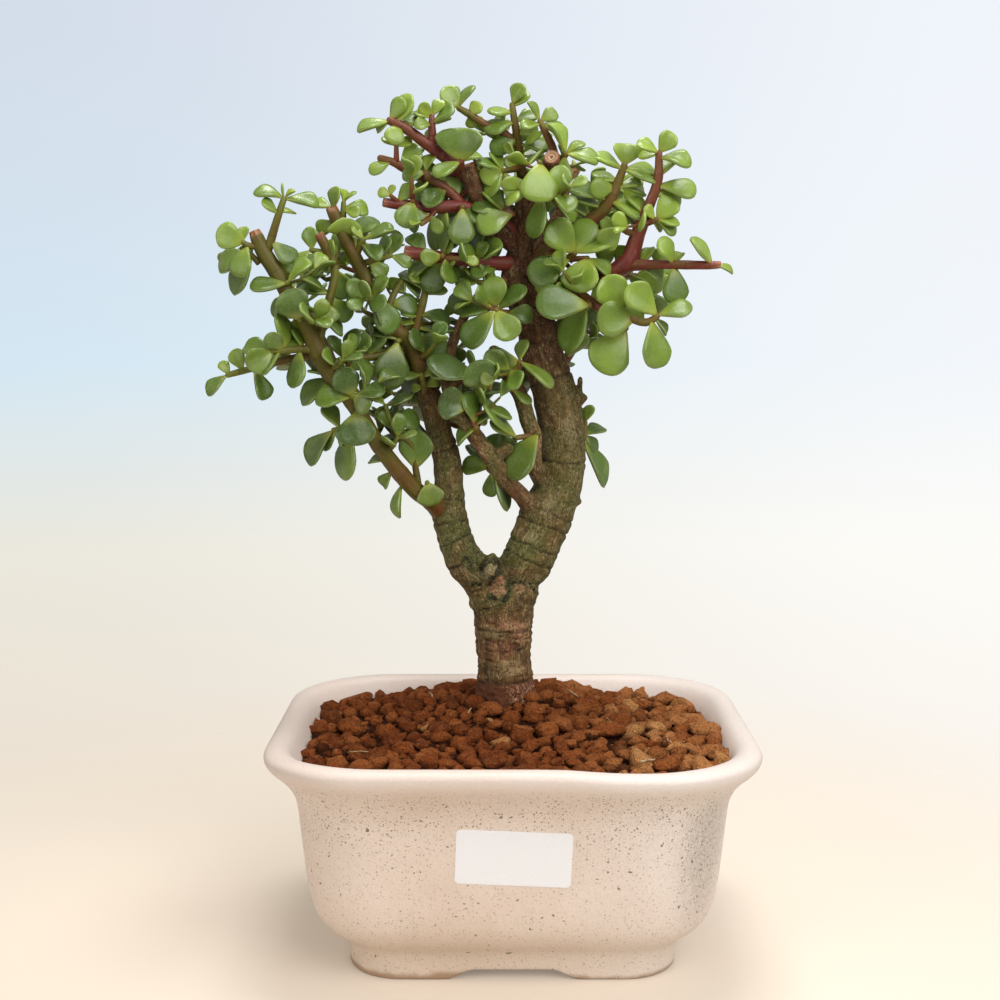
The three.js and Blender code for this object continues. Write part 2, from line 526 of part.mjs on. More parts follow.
    stems: [[[2, 236, 20, 2], [-3, 237, 11, 1.5], [-6, 238.3, 3, 1.1]], [[-3, 237, 11, 1.2], [-13, 243, 14, 1]]],
    leaves: [
      [-5.5, 238.5, 4.8, 247.8, 6.4, -2], [-6.5, 239, -6.5, 251, 10.5, -1], [-7, 238.3, -19.8, 237.3, 6.8, -2],
      [-6.3, 237.5, 1.3, 226.8, 10.4, -3], [-7, 237.5, -18.3, 223.6, 9.4, 0], [-2, 238.5, 8.3, 236.3, 7.2, 0],
      [-12.5, 243, -24.6, 240, 8.4, 1],
    ],
  },
  right_low_stem: {
    stems: [
      [[14, 249, 22, 2.2], [20, 249, 17, 2], [27, 244, 12, 1.8], [34, 239, 8, 1.7], [46, 235, 3, 1.6],
        [52, 233.5, 1, 1.5], [56, 236, 0, 1.2]],
      [[33, 240, 9, 1.3], [43, 238.5, 7, 1.1], [44, 231, 7, 1]],
      [[28, 243.5, 12, 1.3], [30, 240, 6, 1.1]],
    ],
    leaves: [
      [30.3, 239.8, 8.8, 239.4, 14.6, -2], [28, 242, 22.8, 222, 11.6, 4], [47, 234.3, 32.8, 234.6, 13, -4],
      [43.8, 231, 34.6, 213.8, 15.4, -2], [43, 239, 34.6, 250.5, 12.4, -2], [56.5, 237, 44, 247.3, 10, -2],
      [56.3, 236, 69.4, 239.4, 6.8, -2], [54.3, 234, 56, 215.3, 11, -3], [55.5, 234.5, 60.2, 228.8, 3.2, 2],
      [51, 234.5, 45, 240.8, 6, 4], [30, 242, 37.5, 247, 6, 5], [40, 238.5, 49.5, 238, 6.4, 3],
    ],
  },
  right_centre_stem: {
    stems: [
      [[12, 259, 25, 2.2], [20, 257.5, 17, 1.6], [24, 260, 11, 1.2]],
      [[21, 257.5, 15, 1.2], [29, 258, 9, 1]],
    ],
    leaves: [
      [24, 260, 14.6, 271.8, 12.4, -1], [24.3, 260.4, 29.4, 273.2, 11, 3], [24.5, 259.8, 39.3, 262.7, 5.6, -1],
      [22.5, 257.5, 6.5, 250, 10.4, -5], [21, 257.8, 8, 256.8, 4.6, 2], [29.3, 258.3, 27, 244.3, 15, -1],
      [29, 258, 37.8, 251.5, 4.6, 1],
    ],
  },
  right_top_stem: {
    stems: [
      [[7, 255, 26, 3.4], [14, 261, 25, 3], [22, 266, 22, 2.9], [31, 273, 18, 2.7], [36.5, 278.5, 15, 2.3],
        [40.5, 287, 13, 1.7], [42.8, 293, 12, 1.3]],
    ],
    leaves: [
      [43, 293, 42.6, 301.3, 11.8, 1], [41.8, 291.5, 30.8, 296.6, 4.4, -2], [43, 291, 56, 284.8, 4.8, -2],
      [43, 291, 55.6, 290.3, 4.4, 4], [41.5, 283.5, 30, 284.4, 7.4, -5], [35.5, 280.5, 20.8, 286, 5.4, -2],
      [33.5, 278.5, 22, 281.8, 4.6, 2], [37.5, 279.5, 52.8, 273, 7, -2], [36, 278, 47.5, 270.2, 6.8, 3],
      [41, 283.5, 49.8, 285, 4, 1], [39, 287.5, 30.3, 289.3, 4.2, 3], [33, 274.8, 38.6, 267.5, 7, 3],
      [38.5, 286.5, 50, 281, 5, 6], [30, 273, 20.5, 277, 5, 4],
    ],
  },
  right_stem: {
    stems: [
      [[6, 240, 26, 4.4], [16, 246, 23, 4], [28, 249, 18, 3.6], [38, 252, 14, 3.4], [45, 257, 11, 3.6],
        [46, 260, 11, 3.3], [48.5, 268, 10, 2.7], [52, 277, 9, 2.1], [55.5, 287, 8, 1.8], [55.8, 297.5, 7, 1.3]],
      [[45, 255.5, 11, 2.6], [52, 255.5, 8, 1.9], [62, 255.5, 5, 1.7], [75, 255.3, 2, 1.6], [80, 255.5, 1, 1.4]],
      [[48, 267, 10, 1.5], [44, 268, 8, 1.2], [41, 270, 7, 1]],
      [[49.5, 270.5, 10, 1.4], [55.4, 272.6, 6, 1.1]],
    ],
    leaves: [
      [56, 298, 61, 305.3, 7.2, 0], [56, 298, 46.8, 300.6, 4.8, -2], [55.8, 297.3, 48, 296.4, 3.6, 3],
      [56.3, 295.5, 68, 292.3, 6, -2], [57, 288, 62, 295, 6.4, 4], [57, 284.5, 70.9, 282.6, 8, -1],
      [55.5, 283, 64.6, 276.8, 8, 4], [55.6, 272.9, 62.6, 280, 9.2, 1], [55.8, 272.8, 64, 271.2, 3.8, -2],
      [55.2, 272.2, 62.8, 267, 4.2, 0], [54.8, 272.6, 49.8, 277.3, 4.4, -1], [53.5, 272, 57.5, 269, 3.6, 4],
      [62, 256, 56.4, 265.8, 5.4, -2], [62.3, 256, 65.3, 260.5, 4, 3], [76.8, 256, 69, 266.7, 5, -1],
      [78, 255, 85, 252.2, 3.4, 0], [62, 254.5, 62.6, 240.4, 8.8, -1], [49, 254, 57.6, 249.8, 6.2, 4],
      [49.5, 256.5, 53.5, 262.5, 5, 4], [41.5, 269.5, 33.6, 262.5, 9, 2], [47, 262, 39, 256, 5, 6],
      [50.5, 274, 45, 281, 5, 5],
    ],
  },
  leader_stem: {
    stems: [
      [[4, 289, 24, 2.2], [3, 294, 22, 1.8], [2.5, 300, 20, 1.7], [1.5, 306, 19, 1.5], [0.5, 312, 18, 1.3],
        [0, 315.5, 18, 1.1]],
      [[2.3, 300, 20, 1.6], [-4, 305.5, 19, 1.5], [-11, 308.6, 17, 1.4], [-16, 311.8, 16, 1.4], [-20.3, 314.2, 15, 1.1]],
      [[3, 292, 22, 1.4], [-3.6, 290.6, 14, 1.1]],
    ],
    leaves: [
      [0, 315.5, 4.8, 322.8, 6, -1], [0.5, 314.5, 7, 319.6, 4.4, 0], [-0.3, 312.5, -9.6, 312.4, 3.8, -2],
      [0.8, 309, -10.6, 306.8, 4.8, -3], [1, 309, 9.8, 311.8, 4.8, 1], [2, 304.5, 10.2, 307, 5.6, -2],
      [2, 303.5, -7.8, 298, 7, -4], [2.8, 300.5, 14.2, 299.3, 4.6, -2], [3, 296.5, 12, 295.6, 4.2, 2],
      [3, 293.8, -3.3, 293.6, 4.6, -4],
      [-20.5, 314.4, -26, 321.6, 8.4, 0], [-20, 314.6, -14.6, 323.2, 3.8, 1], [-16.5, 311.5, -11.8, 315.8, 5.5, -1],
      [-16, 311.5, -14.5, 307, 5, 3], [-11, 308.5, -6, 304, 4.4, 3],
      [-3.8, 290.8, -12.2, 289, 7.6, -2], [-3.8, 290.3, -8.6, 280.8, 6.4, -2], [-3.2, 290.2, 1, 281.3, 6, 1],
      [-4, 291, -13.4, 295.2, 3.8, -2], [-3.5, 291, -8.3, 297.5, 5, 3],
    ],
  },
  facing_stub_stem: {
    stems: [
      [[14, 287, 16, 2], [13, 284, 11, 1.4], [11.5, 282, 8, 1]],
      [[13, 284, 11, 1.3], [11, 290, 6, 1.2], [10.5, 294, 3, 1]],
      [[13.5, 284, 12, 1.3], [17, 278.5, 12, 1]],
    ],
    leaves: [
      [10.4, 293.8, 9.3, 278.3, 14, -2], [11.3, 281.5, 9, 264.8, 10.6, -2], [17, 278.5, 23.8, 271.6, 5.4, 2],
    ],
  },
  upper_right_twig: {
    stems: [
      [[14.5, 292, 14, 2.2], [18.5, 294.5, 12, 1.5], [20.5, 297.3, 9, 1.2]],
      [[17, 294, 13, 1.5], [15.2, 300, 14, 1.5], [12.3, 305.8, 13, 1.3], [10.5, 309.5, 13, 1]],
    ],
    leaves: [
      [20.4, 296.5, 19, 285.4, 7, 1], [21, 297, 33, 293.3, 5.2, -2], [20.5, 297.8, 13.8, 308.6, 5.2, -1],
      [20.8, 297.8, 27, 302.2, 3.8, 3], [10.5, 309.3, 17.2, 313.3, 6, 1], [11.4, 308.5, 21.4, 305, 5.2, 2],
      [10.5, 309.5, 4.8, 316, 3.2, 1], [11, 308.3, 3.2, 307.5, 4, -3], [12.5, 305.5, 5.5, 301.5, 4, 3],
    ],
  },
  top_left_stem: {
    stems: [
      [[-12.5, 281, 18, 2.6], [-19, 290.5, 17, 2.4], [-27, 297, 13, 2.3], [-34, 302, 11, 2.1], [-41, 307, 9, 1.9],
        [-46.5, 309.5, 8, 1.6]],
      [[-30, 299, 12, 1.7], [-30.4, 306, 11, 1.5], [-30.5, 311.3, 11, 1.1]],
      [[-19.5, 291, 16, 1.6], [-19.5, 294.5, 8, 1.3]],
    ],
    leaves: [
      [-46.8, 309.3, -57.8, 304, 5.8, -2], [-47, 309.8, -42, 318.3, 5.8, -1], [-44, 309, -38, 318, 7, 3],
      [-43.5, 308.5, -45, 300.8, 7.8, -4], [-47, 308.8, -50.5, 304.8, 4, 3], [-41.5, 307.5, -33.8, 308.8, 4, 4],
      [-30.5, 311.2, -34.8, 315.8, 5.2, -1], [-30.6, 310.5, -37.6, 313, 3.6, 0], [-30.3, 311, -26.3, 317, 5, 2],
      [-30.3, 308.5, -21, 313.6, 4.4, -3], [-30.8, 308, -37.3, 307.2, 4.4, -3], [-30.5, 307, -41, 309, 4.4, 4],
      [-30.2, 308, -23, 309.6, 3.4, 3],
      [-19, 294.6, -19.3, 307.3, 18.6, -2], [-20, 294.5, -29, 287.3, 6, -3], [-19.5, 294, -12, 297, 4.5, 4],
    ],
  },
  left_top_branch: {
    stems: [
      [[0, 268, 24, 2.8], [-8, 273, 20, 2.7], [-17, 277, 16, 2.5], [-23, 277.5, 14, 2.4], [-30, 277, 12, 2.2],
        [-40, 277.8, 10, 2.1], [-49, 279, 8, 1.8]],
      [[-19, 278, 16, 2.1], [-25, 284, 14, 1.8], [-31.5, 288, 12, 1.6], [-33, 290.3, 12, 1.2]],
      [[-27, 285.5, 14, 1.6], [-39, 290.5, 15, 1.6], [-45, 294, 13, 1.5], [-50.3, 295.6, 12, 1.3]],
      [[-44, 293.5, 13, 1.2], [-44, 300, 12, 0.9]],
      [[-43, 278.5, 9, 1.2], [-46.3, 281.6, 6, 0.8]],
      [[-37, 277.6, 10, 1.2], [-38, 279.5, 6, 1]],
      [[-19, 277, 15, 1.5], [-19, 277.2, 8, 1.1]],
      [[-8, 272.5, 20, 1.5], [-4, 275.5, 14, 1.3], [0.5, 274.5, 11, 1]],
    ],
    leaves: [
      [-46.4, 281.6, -51.2, 283.2, 4.4, -1], [-46.3, 281.6, -45.4, 285.7, 2.8, 1], [-43.5, 279.5, -37, 285, 6, 2],
      [-38, 279.3, -41.2, 269, 9.2, -1], [-35, 277.2, -39.2, 268.2, 5.4, 4],
      [-33, 290.2, -41.8, 288, 5.8, -2], [-32.8, 290.4, -29.3, 297, 4.8, 1], [-25, 284.5, -32.8, 276, 8.2, -6],
      [-27.5, 285.8, -36.8, 280, 6, 3], [-21, 280.5, -23.5, 289, 6.4, 3], [-31, 288, -24, 290.5, 4, 2],
      [-44.2, 300, -49.6, 303.4, 3.8, -1], [-43.8, 300, -38, 302, 4.4, 1], [-46, 294.5, -53.6, 288.8, 5.2, -3],
      [-42.5, 293, -33.8, 300, 7, 2], [-40, 291, -35, 296.5, 5, 5],
      [-19, 277.2, -20.4, 263, 10.2, -2], [-25, 276.5, -31, 261.8, 8.6, 4],
      [0.5, 274.5, -14, 269.6, 8.6, -3], [-4.5, 275.8, -15.6, 277.4, 5.4, -2], [-8, 272.5, -18.5, 257.5, 9, 5],
      [-3, 274.5, -11, 283, 5.5, 4],
    ],
  },
  cut_side_branch: {
    stems: [
      [[0, 256, 24, 3], [-5, 256, 21, 2.8], [-14, 257, 17, 2.5], [-25, 258, 14, 2.4], [-33, 259, 12, 2.5],
        [-41, 260.5, 11, 2.5]],
      [[-26, 258.5, 14, 1.5], [-26.8, 258.8, 8, 1.2]],
    ],
    leaves: [
      [-27.3, 259, -35.3, 258.2, 6.8, -2], [-26.3, 258.8, -24, 269.3, 5.2, 1], [-26.3, 259, -22.6, 255, 5, -1],
      [-26.8, 258, -33, 245.2, 9.4, -2], [-25.5, 257.5, -21.3, 248.6, 5, 4], [-29, 258, -38.6, 250.3, 5.2, 4],
      [-33, 259, -39.2, 267, 6.6, 4], [-5, 256.5, -13.2, 254.8, 7.4, -5], [-14, 257, -9, 263.5, 6, -4],
      [-12, 256.5, -9.5, 247.5, 5, 3],
    ],
  },
  scarred_twig: {
    stems: [[[0, 250, 24, 1.9], [-7, 248.3, 20, 1.4], [-12.8, 248.8, 17, 1.1]]],
    leaves: [
      [-12.8, 248.8, -22.2, 248.4, 4.2, -2], [-12.6, 249, -18, 253.3, 4.6, 3], [-9, 248.5, -10.5, 256.5, 4.4, 2],
      [-7.5, 248.3, -5.5, 240, 5, 4],
    ],
  },
  low_right_stem: {
    stems: [[[24, 187, 32, 1.9], [27.5, 188, 37, 1.4], [28.5, 195, 40, 1]]],
    leaves: [
      [27.5, 187.5, 35.6, 170.3, 7.6, 4], [28.5, 195, 30.4, 202, 4.6, 1], [28, 190, 32, 183, 5, 5],
      [28.3, 194, 22, 199, 6, 8], [28, 190, 36, 193, 6, 6],
    ],
  },
};

// Leafy stems behind the tree, with rows of [x, z, y, radius]; their leaves stand in crossed pairs
const BACK_STEMS = {
  back_leader: [[10, 228, 30, 2.4], [8, 236, 42, 1.9], [6, 246, 54, 1.6], [4, 256, 64, 1.2]],
  back_right_top: [[4, 256, 30, 2.4], [11, 262, 41, 1.9], [19, 268, 52, 1.6], [24, 275, 61, 1.2]],
  back_left_top: [[3, 260, 30, 2.3], [-6, 266, 42, 1.8], [-12, 273, 53, 1.5], [-15, 281, 61, 1.2]],
  back_left_limb: [[-29, 194, 23, 2.4], [-37, 206, 35, 1.9], [-46, 218, 46, 1.6], [-54, 229, 54, 1.2]],
  back_middle: [[-27, 186, 24, 2.3], [-25, 200, 37, 1.9], [-23, 214, 48, 1.6], [-22, 226, 56, 1.2]],
  back_right_limb: [[15, 212, 32, 2.3], [22, 221, 43, 1.9], [28, 231, 53, 1.6], [32, 240, 60, 1.2]],
  back_top: [[3.5, 274, 27, 2], [8, 283, 36, 1.7], [11, 291, 44, 1.5], [11, 298, 50, 1.1]],
  back_top_left: [[3.4, 270, 28, 2.2], [-7, 281, 36, 1.8], [-17, 290, 43, 1.5], [-24, 297, 48, 1.1]],
  back_right_outer: [[24, 268, 24, 2.1], [31, 272, 35, 1.7], [38, 276, 45, 1.5], [44, 280, 53, 1.1]],
  back_left_outer: [[-50, 237, 10, 2.1], [-55, 245, 22, 1.8], [-60, 255, 34, 1.5], [-64, 264, 42, 1.1]],
  back_left_low: [[-66, 208, 1, 2.1], [-70, 220, 14, 1.8], [-77, 234, 25, 1.5], [-84, 246, 33, 1.1]],
  back_right_low: [[34, 250.5, 17, 2.1], [42, 247, 29, 1.7], [50, 246, 40, 1.5], [56, 248, 49, 1.1]],
};
const BACK_PAIR_SPACING = 8.6;
const BACK_FIRST_PAIR = 12;
const BACK_LEAF_LENGTH = 12.5;
const PAIR_ANGLE = THREE.MathUtils.degToRad(57);
const LEAF_CLEARANCE = 1.4;
const WOOD_CLEARANCE = 0.8;
const FARTHEST_NEIGHBOUR = 40;
const SHARED_ROOT = 2;
const TRIES = 7;

// The wood's stems as capsules, for keeping leaves off them
const woodCapsules = [];
for (const rows of Object.values(WOOD)) {
  for (let i = 1; i < rows.length; i += 1) {
    const [from, to] = [rows[i - 1], rows[i]];
    woodCapsules.push({
      from: sight(from[0], from[1], from[2]),
      to: sight(to[0], to[1], to[2]),
      radius: Math.max(from[3], to[3]),
    });
  }
}

// The nearest point of a leafy stem to where a leaf's base shows, as [x, z, y]
function nearestOnStems(stems, x, z) {
  let best = null;
  let bestDistance = Infinity;
  for (const rows of stems) {
    for (let i = 1; i < rows.length; i += 1) {
      const [from, to] = [rows[i - 1], rows[i]];
      const [dx, dz] = [to[0] - from[0], to[1] - from[1]];
      const length2 = dx * dx + dz * dz + 1e-9;
      const t = Math.min(1, Math.max(0, ((x - from[0]) * dx + (z - from[1]) * dz) / length2));
      const distance = Math.hypot(from[0] + t * dx - x, from[1] + t * dz - z);
      if (distance < bestDistance) {
        bestDistance = distance;
        best = [from[0] + t * dx, from[1] + t * dz, from[2] + t * (to[2] - from[2])];
      }
    }
  }
  return best;
}

// A measured leaf: its blade is turned on its axis until it shows as wide as it was seen
function measuredLeaf(stems, [baseX, baseZ, tipX, tipZ, seenWidth, deeper]) {
  const [rootX, rootZ, rootY] = nearestOnStems(stems, baseX, baseZ);
  const root = sight(rootX, rootZ, rootY);
  const tip = sight(tipX, tipZ, rootY + deeper);
  const axis = tip.clone().sub(root);
  const length = axis.length();
  axis.normalize();
  const width = Math.max(seenWidth, LEAF_ASPECT * length);
  const turn = Math.acos(Math.min(1, Math.max(0.1, (seenWidth - EDGE_ON_THICK) / (width - EDGE_ON_THICK))));
  const facing = EYE.clone().sub(root).normalize();
  facing.addScaledVector(axis, -facing.dot(axis)).normalize();
  const side = axis.clone().cross(facing);
  if (side.z < 0) side.negate();
  const face = facing.multiplyScalar(Math.cos(turn)).addScaledVector(side, Math.sin(turn));
  return { root, tip, width, face };
}

// Points on a blade, and whether a point lies in another blade
function bladePoints({ root, tip, width, face }) {
  const axis = tip.clone().sub(root);
  const across = axis.clone().normalize().cross(face).multiplyScalar(0.42 * width);
  const middle = root.clone().addScaledVector(axis, 0.62);
  return [
    root.clone().addScaledVector(axis, 0.38),
    middle,
    middle.clone().add(across),
    middle.clone().sub(across),
    tip,
  ];
}

function inBlade({ root, tip, width, face }, point) {
  const axis = tip.clone().sub(root);
  const length = axis.length();
  axis.normalize();
  const offset = point.clone().sub(root);
  const along = offset.dot(axis) / length - 0.58;
  const across = offset.dot(axis.clone().cross(face)) / (0.5 * width);
  return Math.abs(offset.dot(face)) < LEAF_CLEARANCE && (along / 0.5) ** 2 + across ** 2 < 1.15;
}

function touchesWood(point) {
  return woodCapsules.some(({ from, to, radius }) => {
    const line = to.clone().sub(from);
    const t = Math.min(1, Math.max(0, point.clone().sub(from).dot(line) / line.lengthSq()));
    return point.distanceTo(from.clone().addScaledVector(line, t)) < radius + WOOD_CLEARANCE;
  });
}

function isClear(leaf, others) {
  const points = bladePoints(leaf);
  if (points.some(touchesWood)) return false;
  return others.every((other) => {
    const apart = other.root.distanceTo(leaf.root);
    if (apart > FARTHEST_NEIGHBOUR || apart < SHARED_ROOT) return true;
    return !points.some((point) => inBlade(other, point)) && !bladePoints(other).some((point) => inBlade(leaf, point));
  });
}

// Crossed pairs of leaves along a stem, with a smaller pair at its tip
function pairedLeaves(points, random, others) {
  const leaves = [];
  const lengths = [0];
  for (let i = 1; i < points.length; i += 1) lengths.push(lengths[i - 1] + points[i].distanceTo(points[i - 1]));
  const total = lengths[lengths.length - 1];
  const pairs = Math.floor((total - BACK_FIRST_PAIR) / BACK_PAIR_SPACING) + 1;
  const phase = 2 * Math.PI * random();
  for (let pair = 0; pair <= pairs; pair += 1) {
    const atTip = pair === pairs;
    const reach = Math.min(total, BACK_FIRST_PAIR + pair * BACK_PAIR_SPACING);
    let part = 1;
    while (part < points.length - 1 && lengths[part] < reach) part += 1;
    const axis = points[part].clone().sub(points[part - 1]).normalize();
    const root = points[part - 1].clone().addScaledVector(axis, reach - lengths[part - 1]);
    const flat = new THREE.Vector3(0, 0, 1).addScaledVector(axis, -axis.z).normalize();
    const over = axis.clone().cross(flat);
    for (let side = 0; side < 2; side += 1) {
      const size = BACK_LEAF_LENGTH * (0.78 + 0.4 * random()) * (atTip ? 0.6 : 1);
      const lean = atTip ? 0.5 * PAIR_ANGLE : PAIR_ANGLE * (0.85 + 0.3 * random());
      const start = phase + (Math.PI / 2) * pair + Math.PI * side + 0.5 * (random() - 0.5);
      for (let attempt = 0; attempt < TRIES; attempt += 1) {
        const swing = Math.ceil(attempt / 2) * 0.42 * (attempt % 2 ? 1 : -1);
        const turn = start + swing;
        const radial = flat.clone().multiplyScalar(Math.cos(turn)).addScaledVector(over, Math.sin(turn));
        const direction = axis.clone().multiplyScalar(Math.cos(lean)).addScaledVector(radial, Math.sin(lean));
        const face = axis.clone();
        face.z += 0.4;
        face.addScaledVector(direction, -face.dot(direction)).normalize();
        const tip = root.clone().addScaledVector(direction, size);
        const leaf = { root, tip, width: size * (0.7 + 0.12 * Math.sin(7 * turn)), face };
        if (isClear(leaf, others)) {
          leaves.push(leaf);
          others.push(leaf);
          break;
        }
      }
    }
  }
  return leaves;
}

// Every leafy stem with its leaves, the measured ones first
const shoots = [];
const allLeaves = [];
for (const [name, { stems, leaves: rows }] of Object.entries(LEAFY_STEMS)) {
  const leaves = rows.map((row) => measuredLeaf(stems, row));
  allLeaves.push(...leaves);
  shoots.push({ name, stems, leaves });
}
const backRandom = makeRandom(7);
for (const [name, rows] of Object.entries(BACK_STEMS)) {
  const points = rows.map(([x, z, y]) => sight(x, z, y));
  shoots.push({ name, stems: [rows], leaves: pairedLeaves(points, backRandom, allLeaves) });
}

function woodSolid(grow) {
  return wasm.Manifold.union(Object.values(WOOD).map((rows) => stemFromTable(rows, grow)));
}

function shootSolid({ stems, leaves }, grow) {
  const stemParts = stems.map((rows) => stemFromTable(rows, grow));
  const large = leaves.filter(({ root, tip }) => root.distanceTo(tip) > SMALLEST_LEAF);
  const leafParts = large.map((leaf) => leafSolid(leaf, grow));
  return wasm.Manifold.union([...stemParts, ...leafParts]);
}

function boxesMeet(a, b) {
  return [0, 1, 2].every((i) => a.min[i] <= b.max[i] && b.min[i] <= a.max[i]);
}

// The assembly
const FINISHES = {
  glaze: { color: 0xd8cabb, roughness: 0.45, metalness: 0 },
  soil: { color: 0x7a4022, roughness: 0.95, metalness: 0 },
  bark: { color: 0x5b4128, roughness: 0.85, metalness: 0 },
  leaf: { color: 0x55782a, roughness: 0.35, metalness: 0 },
  paper: { color: 0xf4f4f2, roughness: 0.6, metalness: 0 },
  screen: { color: 0x232323, roughness: 0.6, metalness: 0 },
};

const pieces = [];

function addPiece(name, solid, finish) {
  pieces.push({ name, body: settled(solid), finish });
}

const woodCutter = woodSolid(GAP);
const meshRoom = new THREE.BoxGeometry(MESH_SIDE + 2 * GAP, MESH_SIDE + 2 * GAP, MESH_THICK + 2 * GAP);
meshRoom.translate(0, 0, FLOOR_TOP + GAP + MESH_THICK / 2);

addPiece('pot', potSolid(), 'glaze');
addPiece('drain_mesh', drainMeshSolid(), 'screen');
addPiece('soil', soilSolid(woodCutter, solidOf(meshRoom)), 'soil');
addPiece('wood', woodSolid(0), 'bark');
addPiece('label', solidOf(labelGeometry()), 'paper');

const cutters = [];
for (const shoot of shoots) {
  let solid = shootSolid(shoot, 0).subtract(woodCutter);
  const box = solid.boundingBox();
  for (const cutter of cutters) {
    if (boxesMeet(box, cutter.box)) solid = solid.subtract(cutter.solid);
  }
  const grown = shootSolid(shoot, GAP);
  cutters.push({ solid: grown, box: grown.boundingBox() });
  addPiece(shoot.name, solid, 'leaf');
}

// The origin is under the middle of the whole plant, on the surface that the pot stands on
const bounds = new THREE.Box3();
for (const { body } of pieces) {
  const { min, max } = body.boundingBox();
  bounds.union(new THREE.Box3(new THREE.Vector3(...min), new THREE.Vector3(...max)));
}
const middle = bounds.getCenter(new THREE.Vector3());
const shift = [-middle.x, -middle.y, -bounds.min.z];

const plant = new THREE.Group();
plant.name = 'potted_dwarf_jade';
for (const { name, body, finish } of pieces) {
  const placed = body.translate(shift);
  const mesh = new THREE.Mesh(geometryOf(placed), new THREE.MeshStandardMaterial(FINISHES[finish]));
  mesh.name = name;
  plant.add(mesh);
}

export default plant;
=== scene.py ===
import math

import bmesh
import bpy
import numpy as np
from mathutils import Matrix, Vector, noise
from mathutils.bvhtree import BVHTree


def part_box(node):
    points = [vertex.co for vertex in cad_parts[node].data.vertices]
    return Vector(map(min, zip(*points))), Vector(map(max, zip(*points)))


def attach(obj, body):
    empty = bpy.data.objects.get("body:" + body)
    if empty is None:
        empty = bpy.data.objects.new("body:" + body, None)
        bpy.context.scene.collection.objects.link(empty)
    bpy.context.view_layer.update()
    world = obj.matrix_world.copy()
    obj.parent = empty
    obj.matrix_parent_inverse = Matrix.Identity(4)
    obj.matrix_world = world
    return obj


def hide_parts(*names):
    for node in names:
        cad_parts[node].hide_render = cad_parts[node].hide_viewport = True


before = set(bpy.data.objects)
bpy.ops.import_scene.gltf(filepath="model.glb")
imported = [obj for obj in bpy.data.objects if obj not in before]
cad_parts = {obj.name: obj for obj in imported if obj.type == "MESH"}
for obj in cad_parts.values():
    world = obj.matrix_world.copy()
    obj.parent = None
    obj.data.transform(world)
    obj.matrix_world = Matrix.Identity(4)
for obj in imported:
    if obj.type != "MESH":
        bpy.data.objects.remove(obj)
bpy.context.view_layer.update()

pot_low, pot_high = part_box("pot")
POT_MIDDLE = Vector(((pot_low.x + pot_high.x) / 2, (pot_low.y + pot_high.y) / 2, 0))
TO_FRAME = Matrix.Translation(POT_MIDDLE) @ Matrix.Scale(0.001, 4)

# Measures of the solids
EYE = Vector((-4.6, -558, 234))
EYE_PITCH = math.radians(-6.8)
TRUNK_DEPTH = 24
WIDTH_LESS_DEPTH = 14
FLOOR_UNDER = 5
FLOOR_TOP = 8
DRAIN_RADIUS = 10
NOTCH_BOTTOM_HALF = 22.5
NOTCH_HEIGHT = 3.8
WALL_LOW = (75.2, 36)
WALL_HIGH = (77.8, 62)
LABEL_SIZE = (40, 20)
LABEL_CENTRE = (0.1, 51.3)
LABEL_TILT = math.radians(-2.5)
LEAF_ASPECT = 0.72
EDGE_ON_THICK = 1.2

